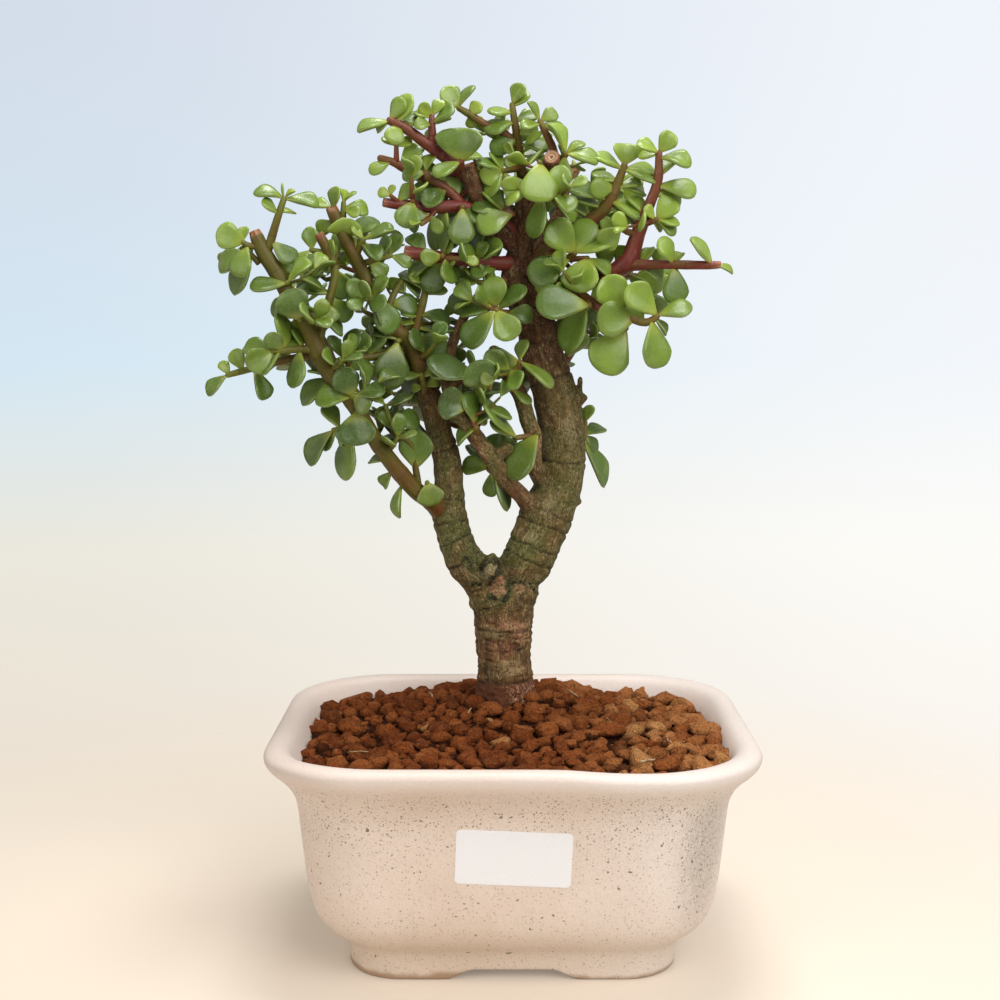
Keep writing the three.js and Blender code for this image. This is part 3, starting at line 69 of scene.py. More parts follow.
# Wood: rows of [x, z, y, radius] from the thick end. A point shows at x, z from the front, on the upright plane
# through the trunk, and lies at depth y on its line of sight.
WOOD = {
  "trunk": [
    [-2.5, 62, 24, 9], [-2.5, 82, 24, 11.6], [-2.5, 90, 24, 11.2], [-2.9, 100, 24, 10.7], [-3.4, 110, 24, 11],
    [-3.2, 120, 24, 11.8], [-4, 127, 24, 13.6], [-5, 134, 24, 13.4], [-6, 139, 24, 9],
  ],
  "left_limb": [
    [-7, 127, 24, 9.5], [-12, 134, 23.5, 8.3], [-18, 140, 23, 7.4], [-22.3, 150, 22.5, 6.8],
    [-24.5, 160, 22, 6.7], [-24.5, 170, 21.5, 5.8], [-25.2, 180, 21, 5.5], [-28, 190, 20, 5],
    [-30, 200, 19, 5.2], [-33, 207, 18, 4.4],
  ],
  "right_limb": [
    [0, 127, 24, 10], [2, 135, 24, 9.2], [5.8, 140, 24.5, 10], [10, 150, 25, 10], [14, 160, 25.5, 10.3],
    [18.3, 170, 26, 9], [19.8, 180, 26, 8.9], [19.8, 190, 26, 8.6], [18, 200, 26, 9], [15.5, 210, 26, 8.5],
    [12, 220, 26, 8.3], [10, 230, 26, 8], [5, 242, 26, 7], [2, 252, 26, 6.3], [3.5, 262, 26, 5],
    [3.3, 270, 26, 3.8], [3.5, 280, 25, 2.4], [4, 292, 24, 1.9],
  ],
  "moss_stub": [[-6, 134, 14, 4], [-7.5, 140, 13, 3.2], [-7.5, 142.5, 13, 1.6]],
  "side_knot": [[20, 202, 26, 4.5], [25, 203.5, 24, 3.4], [28, 204.5, 23, 1.6]],
  "side_stub": [[26, 203, 24, 1.6], [26.3, 208, 23.5, 1.2], [26.5, 212, 23, 1]],
  "low_nub": [[20, 163, 26, 3], [26.4, 164, 25, 1.4]],
  "middle_bough": [
    [14, 172, 22, 3.4], [9, 178, 18, 3.3], [8, 190, 16, 3.2], [6, 197, 15, 3.2], [3, 206, 15, 3.1],
    [-2, 214, 16, 3], [-7, 223, 18, 2.5],
  ],
  "cross_bough": [
    [10, 160, 20, 3.8], [5, 165, 17, 3.5], [-2, 172, 13, 3.3], [-7, 180, 11, 3.3], [-13, 188, 10, 3.3],
    [-19, 197, 9, 3.2], [-24, 207, 10, 3], [-25, 215, 13, 2.4], [-22, 228, 16, 2], [-17, 238, 18, 1.8],
    [-12, 246, 20, 1.4],
  ],
  "cross_stub": [[-6, 182, 11, 2.4], [-1, 185, 10, 2.4]],
  "cut_stub": [[1, 262, 24, 3.2], [-7, 273, 20, 3.2], [-13, 281, 16, 3.3], [-17, 293, 13, 3.3]],
  "facing_stub": [[5, 268, 24, 3.2], [12, 283, 18, 3.1], [15, 293.5, 10, 3.2], [15, 296, 7, 3.2]],
  "back_branch": [[6, 256, 30, 3], [13, 266, 33, 2.6], [18, 275, 34, 2.3], [20, 284, 35, 2.3], [25, 293, 36, 2.2]],
}

# Leafy stems in front: rows of stems as the wood's, and rows of leaves as
# [base x, base z, tip x, tip z, seen width, how much deeper the tip lies]
LEAFY_STEMS = {
  "left_bough": {
    "stems": [
      [[-27, 160, 20, 4.4], [-31, 164, 16, 3.8], [-37, 168, 13, 3.4], [-45, 177, 9, 3.2], [-53, 188, 5, 3],
        [-62, 203, 1, 3], [-70, 213, -2, 3.1], [-75, 222, -4, 3.3], [-79, 232, -5, 3], [-84, 240, -6, 2.9],
        [-90, 252, -6, 2.9], [-95, 260, -6, 2.9], [-98.5, 268, -6, 2.2]],
      [[-93.5, 261, -6, 1.6], [-90, 272, -7, 1.4], [-87, 280.5, -7, 1.1]],
      [[-97, 262, -6, 1.2], [-101.5, 263, -8, 1.1], [-104, 265, -8, 0.9]],
      [[-97, 256, -6, 1.2], [-101, 260.5, -5, 1]],
      [[-87, 247, -6, 1.2], [-86.3, 248.7, -10, 1]],
      [[-81, 235, -6, 1.2], [-81.6, 234.4, -9.5, 1]],
      [[-75, 223, -4, 1.9], [-80, 223.3, -6, 1.5], [-86, 223, -8, 1.4], [-92.5, 222.5, -9, 1.2]],
      [[-76, 221, -2, 1.8], [-82, 220, 0, 1.6], [-88, 219, -1, 1.5], [-96, 217, -2, 1.4], [-110, 213.3, -4, 1.1]],
      [[-75, 224.5, -3, 1.9], [-72.5, 235, 0, 1.7], [-70, 243, 1, 1.6], [-68, 252, 2, 1.5], [-68.5, 258, 2, 1.4]],
      [[-68, 255, 2, 1.8], [-70, 260, 2, 2], [-74, 267, 1, 2]],
      [[-71, 260, 2, 1.2], [-77, 261, 1, 1]],
      [[-63, 204, 1, 1.4], [-61.5, 205.3, -3.5, 1.1]],
      [[-57, 195, 3, 1.3], [-60.5, 199, -2, 1]],
      [[-58, 195, 4, 1.3], [-62, 193.5, 7, 1.1], [-69.5, 192, 7, 0.9]],
      [[-48, 180, 7, 1.2], [-47, 176.5, 10, 1], [-43, 170.5, 13, 0.9]],
      [[-36, 168, 13, 1.4], [-37.5, 177, 13, 1.3], [-39, 186, 11, 1.2], [-46, 192, 8, 1.1], [-49, 201.5, 7, 1]],
      [[-33, 167, 14, 1.2], [-33, 171.5, 9, 1]],
    ],
    "leaves": [
      [-87.5, 280.5, -98.3, 283.5, 5.5, -2], [-86, 280, -74, 277, 4.5, 2], [-89, 274.5, -96.5, 279, 4, -3],
      [-87.5, 274.8, -82.5, 275.6, 3, 4], [-87, 281, -87, 286.5, 1.6, 1], [-86.8, 281, -82.5, 283.5, 1.6, 0],
      [-102.5, 264, -112.8, 268.3, 10, -2], [-103, 264.5, -102, 269.5, 4, 3], [-101, 262.5, -104.6, 250.5, 8, -4],
      [-101.5, 260.5, -113.5, 254.5, 8, 3], [-100, 259, -106, 244.5, 7.5, 4],
      [-86.5, 248.6, -101, 246.5, 6.6, -2], [-86, 249, -76, 255, 4.6, -1],
      [-81.5, 234.4, -86.5, 245.8, 12, -1], [-84, 238, -92, 239.5, 8, 6], [-88, 227, -91, 236.5, 6, 5],
      [-92, 222.5, -103, 217, 9.5, -3], [-92, 223, -103.5, 223, 7, 4], [-88.5, 223.5, -94.5, 229.5, 7, -4],
      [-80.5, 224, -88.5, 226.5, 5, 4], [-81, 224, -84.5, 231, 4, 3], [-82, 222.8, -83.2, 207.5, 8, -2],
      [-89.5, 222.5, -95.5, 212.5, 3.6, -3], [-81, 220.5, -75.2, 215, 4, 5],
      [-109.5, 213.6, -112.5, 218.3, 4.6, 1], [-110, 213, -117.5, 205.3, 5.5, -2], [-104, 215.3, -106.5, 223, 6.5, 2],
      [-99.5, 215.5, -97.8, 203, 6.6, -1],
      [-61.5, 206, -66.5, 215.5, 10, -3], [-61, 205.5, -49, 207.3, 6, -3], [-61.5, 205, -55, 199.3, 7.5, -4],
      [-62, 204.8, -76, 202.5, 7.6, -2], [-70, 212, -79.5, 202, 6, 6], [-71, 213, -78, 216, 5, 6],
      [-60.5, 199.5, -60, 185.5, 14.6, -3], [-61.5, 190, -64.3, 172.5, 8.6, 2], [-69.5, 191, -80, 179, 6.6, 2],
      [-68.5, 193, -73, 184.5, 6, 4], [-67, 194, -71.5, 202.5, 6, 5], [-66, 192, -66.5, 186, 2.6, 3],
      [-50, 180, -55.5, 179, 3.6, 4], [-46.5, 176, -50.5, 169.5, 5, 3], [-42.5, 170, -45.5, 157.5, 4.6, -2],
      [-37.5, 176.8, -38, 191.6, 12.5, -3], [-46.2, 192, -52.3, 198.3, 4.8, -3], [-49, 201.5, -38.5, 204.3, 3.8, -2],
      [-49, 201.5, -54, 203.5, 3, 2], [-45, 196, -35.5, 197, 8, 6], [-41, 188, -51, 188.5, 4, 6],
      [-33, 171.8, -30.2, 162.8, 10.8, -1],
      [-69.5, 240, -71.8, 234, 10, -5], [-71, 245, -82.5, 245.4, 4.6, 3], [-70, 243, -62.5, 235, 8, 6],
      [-69, 257.6, -75.7, 250.3, 5.4, -3], [-69, 257, -68.8, 265, 4, -2], [-68, 254, -63.5, 243.5, 9, 4],
      [-69, 255, -79, 258, 6, 7], [-76.5, 261, -77.5, 269.7, 5.6, -1], [-77, 260.8, -82.5, 256.6, 3.6, -1],
      [-92, 264.5, -82.5, 257, 6.8, -1], [-92, 256, -82, 254, 7.5, 6], [-72.5, 235, -65, 229, 5, 6],
    ],
  },
  "upper_left_stem": {
    "stems": [
      [[-33, 205, 18, 3.4], [-36, 216, 14, 2.9], [-40, 226, 12, 2.8], [-45, 231, 10, 2.8], [-51, 238, 8, 2.6],
        [-53.5, 243, 7, 2.5], [-57, 252, 6, 2.5], [-62, 262, 5, 2.5], [-66, 270, 4, 2.5], [-69, 277, 3, 2.3]],
      [[-42, 227, 12, 1.4], [-44, 226.3, 7, 1.1]],
      [[-34, 206, 16, 1.3], [-34, 209.5, 10, 1.2], [-35, 213.5, 9, 1]],
      [[-38, 222, 14, 2.2], [-37.2, 231, 15, 1.9], [-33.8, 243, 15, 1.5], [-33, 249, 15, 1.2]],
      [[-40, 225, 13, 1.8], [-50, 221, 11, 1.6], [-57, 220, 9, 1.5], [-68, 218.5, 6, 1.3]],
      [[-53, 242.5, 8, 1.3], [-54, 243.2, 2, 1.1]],
      [[-60, 258, 6, 1.4], [-58, 263, 3, 1.2], [-56.8, 265.2, 1, 1]],
      [[-57, 256, 6, 1.3], [-50, 258, 7, 1.1], [-46.5, 259, 7, 1]],
      [[-65, 269, 5, 1.4], [-64.5, 275, 3, 1.2], [-64.3, 279, 3, 0.9]],
      [[-48, 235, 9, 1.5], [-46, 243, 13, 1.3], [-42, 250, 15, 1.1]],
    ],
    "leaves": [
      [-43.8, 225.8, -48, 208.3, 12.8, -1], [-43, 226.5, -54, 229.5, 4.5, 4],
      [-34.5, 213.5, -43, 212.3, 4.6, -2], [-34, 212.5, -28, 215.5, 4, 3], [-33.8, 209, -28.2, 210.8, 3.6, 1],
      [-34, 208.6, -39, 208, 3.4, 1], [-35.5, 213, -39, 203, 6, 8],
      [-36.7, 236, -43, 237.3, 3.4, -3], [-36.5, 233.5, -44, 232, 4, -2], [-34.5, 236, -23.5, 233.8, 5, -2],
      [-35, 231, -21.5, 230, 4, 4], [-33.6, 244, -25, 246, 3.8, 2], [-33.5, 245.5, -43, 253, 5, 3],
      [-33, 248, -39.5, 251.5, 4.2, -3], [-37, 226, -24.5, 223, 12, -3], [-37, 222, -27, 230, 8, 3],
      [-64, 218.8, -71.5, 228, 5.6, -2], [-60, 219.8, -55, 229, 5.5, -3], [-63, 219.3, -59.5, 230.5, 5.6, 3],
      [-56, 220, -48.5, 230.5, 6, 2], [-58, 219.5, -54.5, 212.8, 7, 3], [-52, 221, -56.5, 232, 5, 5],
      [-48, 222, -52, 210, 6, 7], [-46, 223, -41, 213, 5, 6],
      [-54, 243, -47.3, 250.6, 6.6, -2], [-54.3, 243.3, -63.6, 239.8, 6.2, -2], [-53.5, 242.5, -46, 230.3, 10.6, -4],
      [-54, 242.5, -52.5, 231, 4, 3], [-47, 241, -36, 239.8, 8.6, 3], [-57, 249, -66, 245.5, 6, 6],
      [-56.5, 265.2, -44.5, 268.2, 4.7, -2], [-57, 265.2, -61.2, 270, 3.6, 0], [-57.6, 263.5, -50.5, 258, 5.2, -4],
      [-58.3, 262, -63, 264.5, 4, 2], [-52, 258, -46.5, 266.5, 4, 0], [-54, 256.5, -49.5, 250.5, 7, 2],
      [-47, 258.8, -42.3, 266.8, 5.2, 0], [-46.5, 258.5, -39, 255, 4.5, 3],
      [-63.5, 267, -64.8, 273.3, 11.6, -4], [-65, 276.5, -57.8, 274, 4.8, -2], [-64.4, 277, -54.3, 276, 5.6, 3],
      [-63, 266.5, -51, 273, 6.8, 4], [-68.5, 276, -66.8, 284.7, 5, -3], [-68.5, 278, -76, 279.6, 5.2, 3],
      [-64.5, 278, -65.8, 284, 3.2, 2], [-64.3, 279, -59.4, 283.3, 1.8, 0], [-67, 271.5, -74.7, 269.3, 6.2, 3],
      [-42, 250, -47, 247, 4.6, 3], [-42.3, 249.5, -36.5, 243, 5, 5],
    ],
  },
  "lower_inner_stem": {
    "stems": [
      [[-13, 189, 10, 1.6], [-13.8, 193, 4, 1.2]],
      [[-13.6, 192, 5, 1.1], [-17, 201, 3, 1]],
    ],
    "leaves": [
      [-14, 193.5, -17.3, 207, 6.4, 0], [-13, 194, -5.5, 197.8, 3.4, 1], [-17, 202.5, -28.6, 203.3, 12, -1],
      [-14, 192.5, -20, 186, 4, 5],
    ],
  },
  "inner_left_stem": {
    "stems": [
      [[-24, 209, 10, 2], [-18, 212, 6, 1.4], [-11, 213, 3, 1.2], [-8.5, 208, 3, 1]],
    ],
    "leaves": [
      [-9.3, 206, -15, 218.3, 13.4, -2], [-13, 214, -32.5, 217.8, 11, -3], [-18, 212, -31, 213.3, 4.5, -2],
      [-10, 209, -13.5, 203, 5, 4],
    ],
  },
  "middle_stem": {
    "stems": [
      [[1, 209, 15, 1.8], [3, 218.5, 9, 1.2]],
      [[2, 213, 12, 1.2], [0, 207.5, 10, 1]],
    ],
    "leaves": [
      [2.6, 218.5, -11.5, 217.3, 12.2, -2], [3.3, 219, 14.6, 206.8, 5, -5], [-0.5, 207, -13.5, 206.3, 5, 4],
      [3, 218.5, 4.5, 227, 5, 4], [0.5, 207.5, 8, 203, 4, -2],
    ],
  },
  "low_middle_stem": {
    "stems": [[[8, 188, 16, 1.8], [10.4, 191, 9, 1.2]], [[9, 190, 12, 1.1], [2, 189, 9, 1]]],
    "leaves": [
      [10.4, 190.8, -1.6, 173, 9.8, -2], [1.8, 189.3, -12.4, 203.8, 5, -3], [1.5, 188.5, -8.6, 194.8, 5, 4],
    ],
  },
  "low_back_stem": {
    "stems": [[[-5, 177, 12, 1.8], [-8, 176, 20, 1.3], [-10, 178, 26, 1]]],
    "leaves": [
      [-9, 177, -19, 178, 8, 3], [-7.5, 175.8, -8.2, 165.5, 5.4, 1], [-6, 176.3, -4.2, 160.5, 4.6, 3],
      [-10, 178, -4, 190, 6, 4], [-10, 178, -17.5, 186, 6, 5],
    ],
  },
  "trunk_rosette": {
    "stems": [[[2, 236, 20, 2], [-3, 237, 11, 1.5], [-6, 238.3, 3, 1.1]], [[-3, 237, 11, 1.2], [-13, 243, 14, 1]]],
    "leaves": [
      [-5.5, 238.5, 4.8, 247.8, 6.4, -2], [-6.5, 239, -6.5, 251, 10.5, -1], [-7, 238.3, -19.8, 237.3, 6.8, -2],
      [-6.3, 237.5, 1.3, 226.8, 10.4, -3], [-7, 237.5, -18.3, 223.6, 9.4, 0], [-2, 238.5, 8.3, 236.3, 7.2, 0],
      [-12.5, 243, -24.6, 240, 8.4, 1],
    ],
  },
  "right_low_stem": {
    "stems": [
      [[14, 249, 22, 2.2], [20, 249, 17, 2], [27, 244, 12, 1.8], [34, 239, 8, 1.7], [46, 235, 3, 1.6],
        [52, 233.5, 1, 1.5], [56, 236, 0, 1.2]],
      [[33, 240, 9, 1.3], [43, 238.5, 7, 1.1], [44, 231, 7, 1]],
      [[28, 243.5, 12, 1.3], [30, 240, 6, 1.1]],
    ],
    "leaves": [
      [30.3, 239.8, 8.8, 239.4, 14.6, -2], [28, 242, 22.8, 222, 11.6, 4], [47, 234.3, 32.8, 234.6, 13, -4],
      [43.8, 231, 34.6, 213.8, 15.4, -2], [43, 239, 34.6, 250.5, 12.4, -2], [56.5, 237, 44, 247.3, 10, -2],
      [56.3, 236, 69.4, 239.4, 6.8, -2], [54.3, 234, 56, 215.3, 11, -3], [55.5, 234.5, 60.2, 228.8, 3.2, 2],
      [51, 234.5, 45, 240.8, 6, 4], [30, 242, 37.5, 247, 6, 5], [40, 238.5, 49.5, 238, 6.4, 3],
    ],
  },
  "right_centre_stem": {
    "stems": [
      [[12, 259, 25, 2.2], [20, 257.5, 17, 1.6], [24, 260, 11, 1.2]],
      [[21, 257.5, 15, 1.2], [29, 258, 9, 1]],
    ],
    "leaves": [
      [24, 260, 14.6, 271.8, 12.4, -1], [24.3, 260.4, 29.4, 273.2, 11, 3], [24.5, 259.8, 39.3, 262.7, 5.6, -1],
      [22.5, 257.5, 6.5, 250, 10.4, -5], [21, 257.8, 8, 256.8, 4.6, 2], [29.3, 258.3, 27, 244.3, 15, -1],
      [29, 258, 37.8, 251.5, 4.6, 1],
    ],
  },
  "right_top_stem": {
    "stems": [
      [[7, 255, 26, 3.4], [14, 261, 25, 3], [22, 266, 22, 2.9], [31, 273, 18, 2.7], [36.5, 278.5, 15, 2.3],
        [40.5, 287, 13, 1.7], [42.8, 293, 12, 1.3]],
    ],
    "leaves": [
      [43, 293, 42.6, 301.3, 11.8, 1], [41.8, 291.5, 30.8, 296.6, 4.4, -2], [43, 291, 56, 284.8, 4.8, -2],
      [43, 291, 55.6, 290.3, 4.4, 4], [41.5, 283.5, 30, 284.4, 7.4, -5], [35.5, 280.5, 20.8, 286, 5.4, -2],
      [33.5, 278.5, 22, 281.8, 4.6, 2], [37.5, 279.5, 52.8, 273, 7, -2], [36, 278, 47.5, 270.2, 6.8, 3],
      [41, 283.5, 49.8, 285, 4, 1], [39, 287.5, 30.3, 289.3, 4.2, 3], [33, 274.8, 38.6, 267.5, 7, 3],
      [38.5, 286.5, 50, 281, 5, 6], [30, 273, 20.5, 277, 5, 4],
    ],
  },
  "right_stem": {
    "stems": [
      [[6, 240, 26, 4.4], [16, 246, 23, 4], [28, 249, 18, 3.6], [38, 252, 14, 3.4], [45, 257, 11, 3.6],
        [46, 260, 11, 3.3], [48.5, 268, 10, 2.7], [52, 277, 9, 2.1], [55.5, 287, 8, 1.8], [55.8, 297.5, 7, 1.3]],
      [[45, 255.5, 11, 2.6], [52, 255.5, 8, 1.9], [62, 255.5, 5, 1.7], [75, 255.3, 2, 1.6], [80, 255.5, 1, 1.4]],
      [[48, 267, 10, 1.5], [44, 268, 8, 1.2], [41, 270, 7, 1]],
      [[49.5, 270.5, 10, 1.4], [55.4, 272.6, 6, 1.1]],
    ],
    "leaves": [
      [56, 298, 61, 305.3, 7.2, 0], [56, 298, 46.8, 300.6, 4.8, -2], [55.8, 297.3, 48, 296.4, 3.6, 3],
      [56.3, 295.5, 68, 292.3, 6, -2], [57, 288, 62, 295, 6.4, 4], [57, 284.5, 70.9, 282.6, 8, -1],
      [55.5, 283, 64.6, 276.8, 8, 4], [55.6, 272.9, 62.6, 280, 9.2, 1], [55.8, 272.8, 64, 271.2, 3.8, -2],
      [55.2, 272.2, 62.8, 267, 4.2, 0], [54.8, 272.6, 49.8, 277.3, 4.4, -1], [53.5, 272, 57.5, 269, 3.6, 4],
      [62, 256, 56.4, 265.8, 5.4, -2], [62.3, 256, 65.3, 260.5, 4, 3], [76.8, 256, 69, 266.7, 5, -1],
      [78, 255, 85, 252.2, 3.4, 0], [62, 254.5, 62.6, 240.4, 8.8, -1], [49, 254, 57.6, 249.8, 6.2, 4],
      [49.5, 256.5, 53.5, 262.5, 5, 4], [41.5, 269.5, 33.6, 262.5, 9, 2], [47, 262, 39, 256, 5, 6],
      [50.5, 274, 45, 281, 5, 5],
    ],
  },
  "leader_stem": {
    "stems": [
      [[4, 289, 24, 2.2], [3, 294, 22, 1.8], [2.5, 300, 20, 1.7], [1.5, 306, 19, 1.5], [0.5, 312, 18, 1.3],
        [0, 315.5, 18, 1.1]],
      [[2.3, 300, 20, 1.6], [-4, 305.5, 19, 1.5], [-11, 308.6, 17, 1.4], [-16, 311.8, 16, 1.4],
        [-20.3, 314.2, 15, 1.1]],
      [[3, 292, 22, 1.4], [-3.6, 290.6, 14, 1.1]],
    ],
    "leaves": [
      [0, 315.5, 4.8, 322.8, 6, -1], [0.5, 314.5, 7, 319.6, 4.4, 0], [-0.3, 312.5, -9.6, 312.4, 3.8, -2],
      [0.8, 309, -10.6, 306.8, 4.8, -3], [1, 309, 9.8, 311.8, 4.8, 1], [2, 304.5, 10.2, 307, 5.6, -2],
      [2, 303.5, -7.8, 298, 7, -4], [2.8, 300.5, 14.2, 299.3, 4.6, -2], [3, 296.5, 12, 295.6, 4.2, 2],
      [3, 293.8, -3.3, 293.6, 4.6, -4],
      [-20.5, 314.4, -26, 321.6, 8.4, 0], [-20, 314.6, -14.6, 323.2, 3.8, 1], [-16.5, 311.5, -11.8, 315.8, 5.5, -1],
      [-16, 311.5, -14.5, 307, 5, 3], [-11, 308.5, -6, 304, 4.4, 3],
      [-3.8, 290.8, -12.2, 289, 7.6, -2], [-3.8, 290.3, -8.6, 280.8, 6.4, -2], [-3.2, 290.2, 1, 281.3, 6, 1],
      [-4, 291, -13.4, 295.2, 3.8, -2], [-3.5, 291, -8.3, 297.5, 5, 3],
    ],
  },
  "facing_stub_stem": {
    "stems": [
      [[14, 287, 16, 2], [13, 284, 11, 1.4], [11.5, 282, 8, 1]],
      [[13, 284, 11, 1.3], [11, 290, 6, 1.2], [10.5, 294, 3, 1]],
      [[13.5, 284, 12, 1.3], [17, 278.5, 12, 1]],
    ],
    "leaves": [
      [10.4, 293.8, 9.3, 278.3, 14, -2], [11.3, 281.5, 9, 264.8, 10.6, -2], [17, 278.5, 23.8, 271.6, 5.4, 2],
    ],
  },
  "upper_right_twig": {
    "stems": [
      [[14.5, 292, 14, 2.2], [18.5, 294.5, 12, 1.5], [20.5, 297.3, 9, 1.2]],
      [[17, 294, 13, 1.5], [15.2, 300, 14, 1.5], [12.3, 305.8, 13, 1.3], [10.5, 309.5, 13, 1]],
    ],
    "leaves": [
      [20.4, 296.5, 19, 285.4, 7, 1], [21, 297, 33, 293.3, 5.2, -2], [20.5, 297.8, 13.8, 308.6, 5.2, -1],
      [20.8, 297.8, 27, 302.2, 3.8, 3], [10.5, 309.3, 17.2, 313.3, 6, 1], [11.4, 308.5, 21.4, 305, 5.2, 2],
      [10.5, 309.5, 4.8, 316, 3.2, 1], [11, 308.3, 3.2, 307.5, 4, -3], [12.5, 305.5, 5.5, 301.5, 4, 3],
    ],
  },
  "top_left_stem": {
    "stems": [
      [[-12.5, 281, 18, 2.6], [-19, 290.5, 17, 2.4], [-27, 297, 13, 2.3], [-34, 302, 11, 2.1], [-41, 307, 9, 1.9],
        [-46.5, 309.5, 8, 1.6]],
      [[-30, 299, 12, 1.7], [-30.4, 306, 11, 1.5], [-30.5, 311.3, 11, 1.1]],
      [[-19.5, 291, 16, 1.6], [-19.5, 294.5, 8, 1.3]],
    ],
    "leaves": [
      [-46.8, 309.3, -57.8, 304, 5.8, -2], [-47, 309.8, -42, 318.3, 5.8, -1], [-44, 309, -38, 318, 7, 3],
      [-43.5, 308.5, -45, 300.8, 7.8, -4], [-47, 308.8, -50.5, 304.8, 4, 3], [-41.5, 307.5, -33.8, 308.8, 4, 4],
      [-30.5, 311.2, -34.8, 315.8, 5.2, -1], [-30.6, 310.5, -37.6, 313, 3.6, 0], [-30.3, 311, -26.3, 317, 5, 2],
      [-30.3, 308.5, -21, 313.6, 4.4, -3], [-30.8, 308, -37.3, 307.2, 4.4, -3], [-30.5, 307, -41, 309, 4.4, 4],
      [-30.2, 308, -23, 309.6, 3.4, 3],
      [-19, 294.6, -19.3, 307.3, 18.6, -2], [-20, 294.5, -29, 287.3, 6, -3], [-19.5, 294, -12, 297, 4.5, 4],
    ],
  },
  "left_top_branch": {
    "stems": [
      [[0, 268, 24, 2.8], [-8, 273, 20, 2.7], [-17, 277, 16, 2.5], [-23, 277.5, 14, 2.4], [-30, 277, 12, 2.2],
        [-40, 277.8, 10, 2.1], [-49, 279, 8, 1.8]],
      [[-19, 278, 16, 2.1], [-25, 284, 14, 1.8], [-31.5, 288, 12, 1.6], [-33, 290.3, 12, 1.2]],
      [[-27, 285.5, 14, 1.6], [-39, 290.5, 15, 1.6], [-45, 294, 13, 1.5], [-50.3, 295.6, 12, 1.3]],
      [[-44, 293.5, 13, 1.2], [-44, 300, 12, 0.9]],
      [[-43, 278.5, 9, 1.2], [-46.3, 281.6, 6, 0.8]],
      [[-37, 277.6, 10, 1.2], [-38, 279.5, 6, 1]],
      [[-19, 277, 15, 1.5], [-19, 277.2, 8, 1.1]],
      [[-8, 272.5, 20, 1.5], [-4, 275.5, 14, 1.3], [0.5, 274.5, 11, 1]],
    ],
    "leaves": [
      [-46.4, 281.6, -51.2, 283.2, 4.4, -1], [-46.3, 281.6, -45.4, 285.7, 2.8, 1], [-43.5, 279.5, -37, 285, 6, 2],
      [-38, 279.3, -41.2, 269, 9.2, -1], [-35, 277.2, -39.2, 268.2, 5.4, 4],
      [-33, 290.2, -41.8, 288, 5.8, -2], [-32.8, 290.4, -29.3, 297, 4.8, 1], [-25, 284.5, -32.8, 276, 8.2, -6],
      [-27.5, 285.8, -36.8, 280, 6, 3], [-21, 280.5, -23.5, 289, 6.4, 3], [-31, 288, -24, 290.5, 4, 2],
      [-44.2, 300, -49.6, 303.4, 3.8, -1], [-43.8, 300, -38, 302, 4.4, 1], [-46, 294.5, -53.6, 288.8, 5.2, -3],
      [-42.5, 293, -33.8, 300, 7, 2], [-40, 291, -35, 296.5, 5, 5],
      [-19, 277.2, -20.4, 263, 10.2, -2], [-25, 276.5, -31, 261.8, 8.6, 4],
      [0.5, 274.5, -14, 269.6, 8.6, -3], [-4.5, 275.8, -15.6, 277.4, 5.4, -2], [-8, 272.5, -18.5, 257.5, 9, 5],
      [-3, 274.5, -11, 283, 5.5, 4],
    ],
  },
  "cut_side_branch": {
    "stems": [
      [[0, 256, 24, 3], [-5, 256, 21, 2.8], [-14, 257, 17, 2.5], [-25, 258, 14, 2.4], [-33, 259, 12, 2.5],
        [-41, 260.5, 11, 2.5]],
      [[-26, 258.5, 14, 1.5], [-26.8, 258.8, 8, 1.2]],
    ],
    "leaves": [
      [-27.3, 259, -35.3, 258.2, 6.8, -2], [-26.3, 258.8, -24, 269.3, 5.2, 1], [-26.3, 259, -22.6, 255, 5, -1],
      [-26.8, 258, -33, 245.2, 9.4, -2], [-25.5, 257.5, -21.3, 248.6, 5, 4], [-29, 258, -38.6, 250.3, 5.2, 4],
      [-33, 259, -39.2, 267, 6.6, 4], [-5, 256.5, -13.2, 254.8, 7.4, -5], [-14, 257, -9, 263.5, 6, -4],
      [-12, 256.5, -9.5, 247.5, 5, 3],
    ],
  },
  "scarred_twig": {
    "stems": [[[0, 250, 24, 1.9], [-7, 248.3, 20, 1.4], [-12.8, 248.8, 17, 1.1]]],
    "leaves": [
      [-12.8, 248.8, -22.2, 248.4, 4.2, -2], [-12.6, 249, -18, 253.3, 4.6, 3], [-9, 248.5, -10.5, 256.5, 4.4, 2],
      [-7.5, 248.3, -5.5, 240, 5, 4],
    ],
  },
  "low_right_stem": {
    "stems": [[[24, 187, 32, 1.9], [27.5, 188, 37, 1.4], [28.5, 195, 40, 1]]],
    "leaves": [
      [27.5, 187.5, 35.6, 170.3, 7.6, 4], [28.5, 195, 30.4, 202, 4.6, 1], [28, 190, 32, 183, 5, 5],
      [28.3, 194, 22, 199, 6, 8], [28, 190, 36, 193, 6, 6],
    ],
  },
}

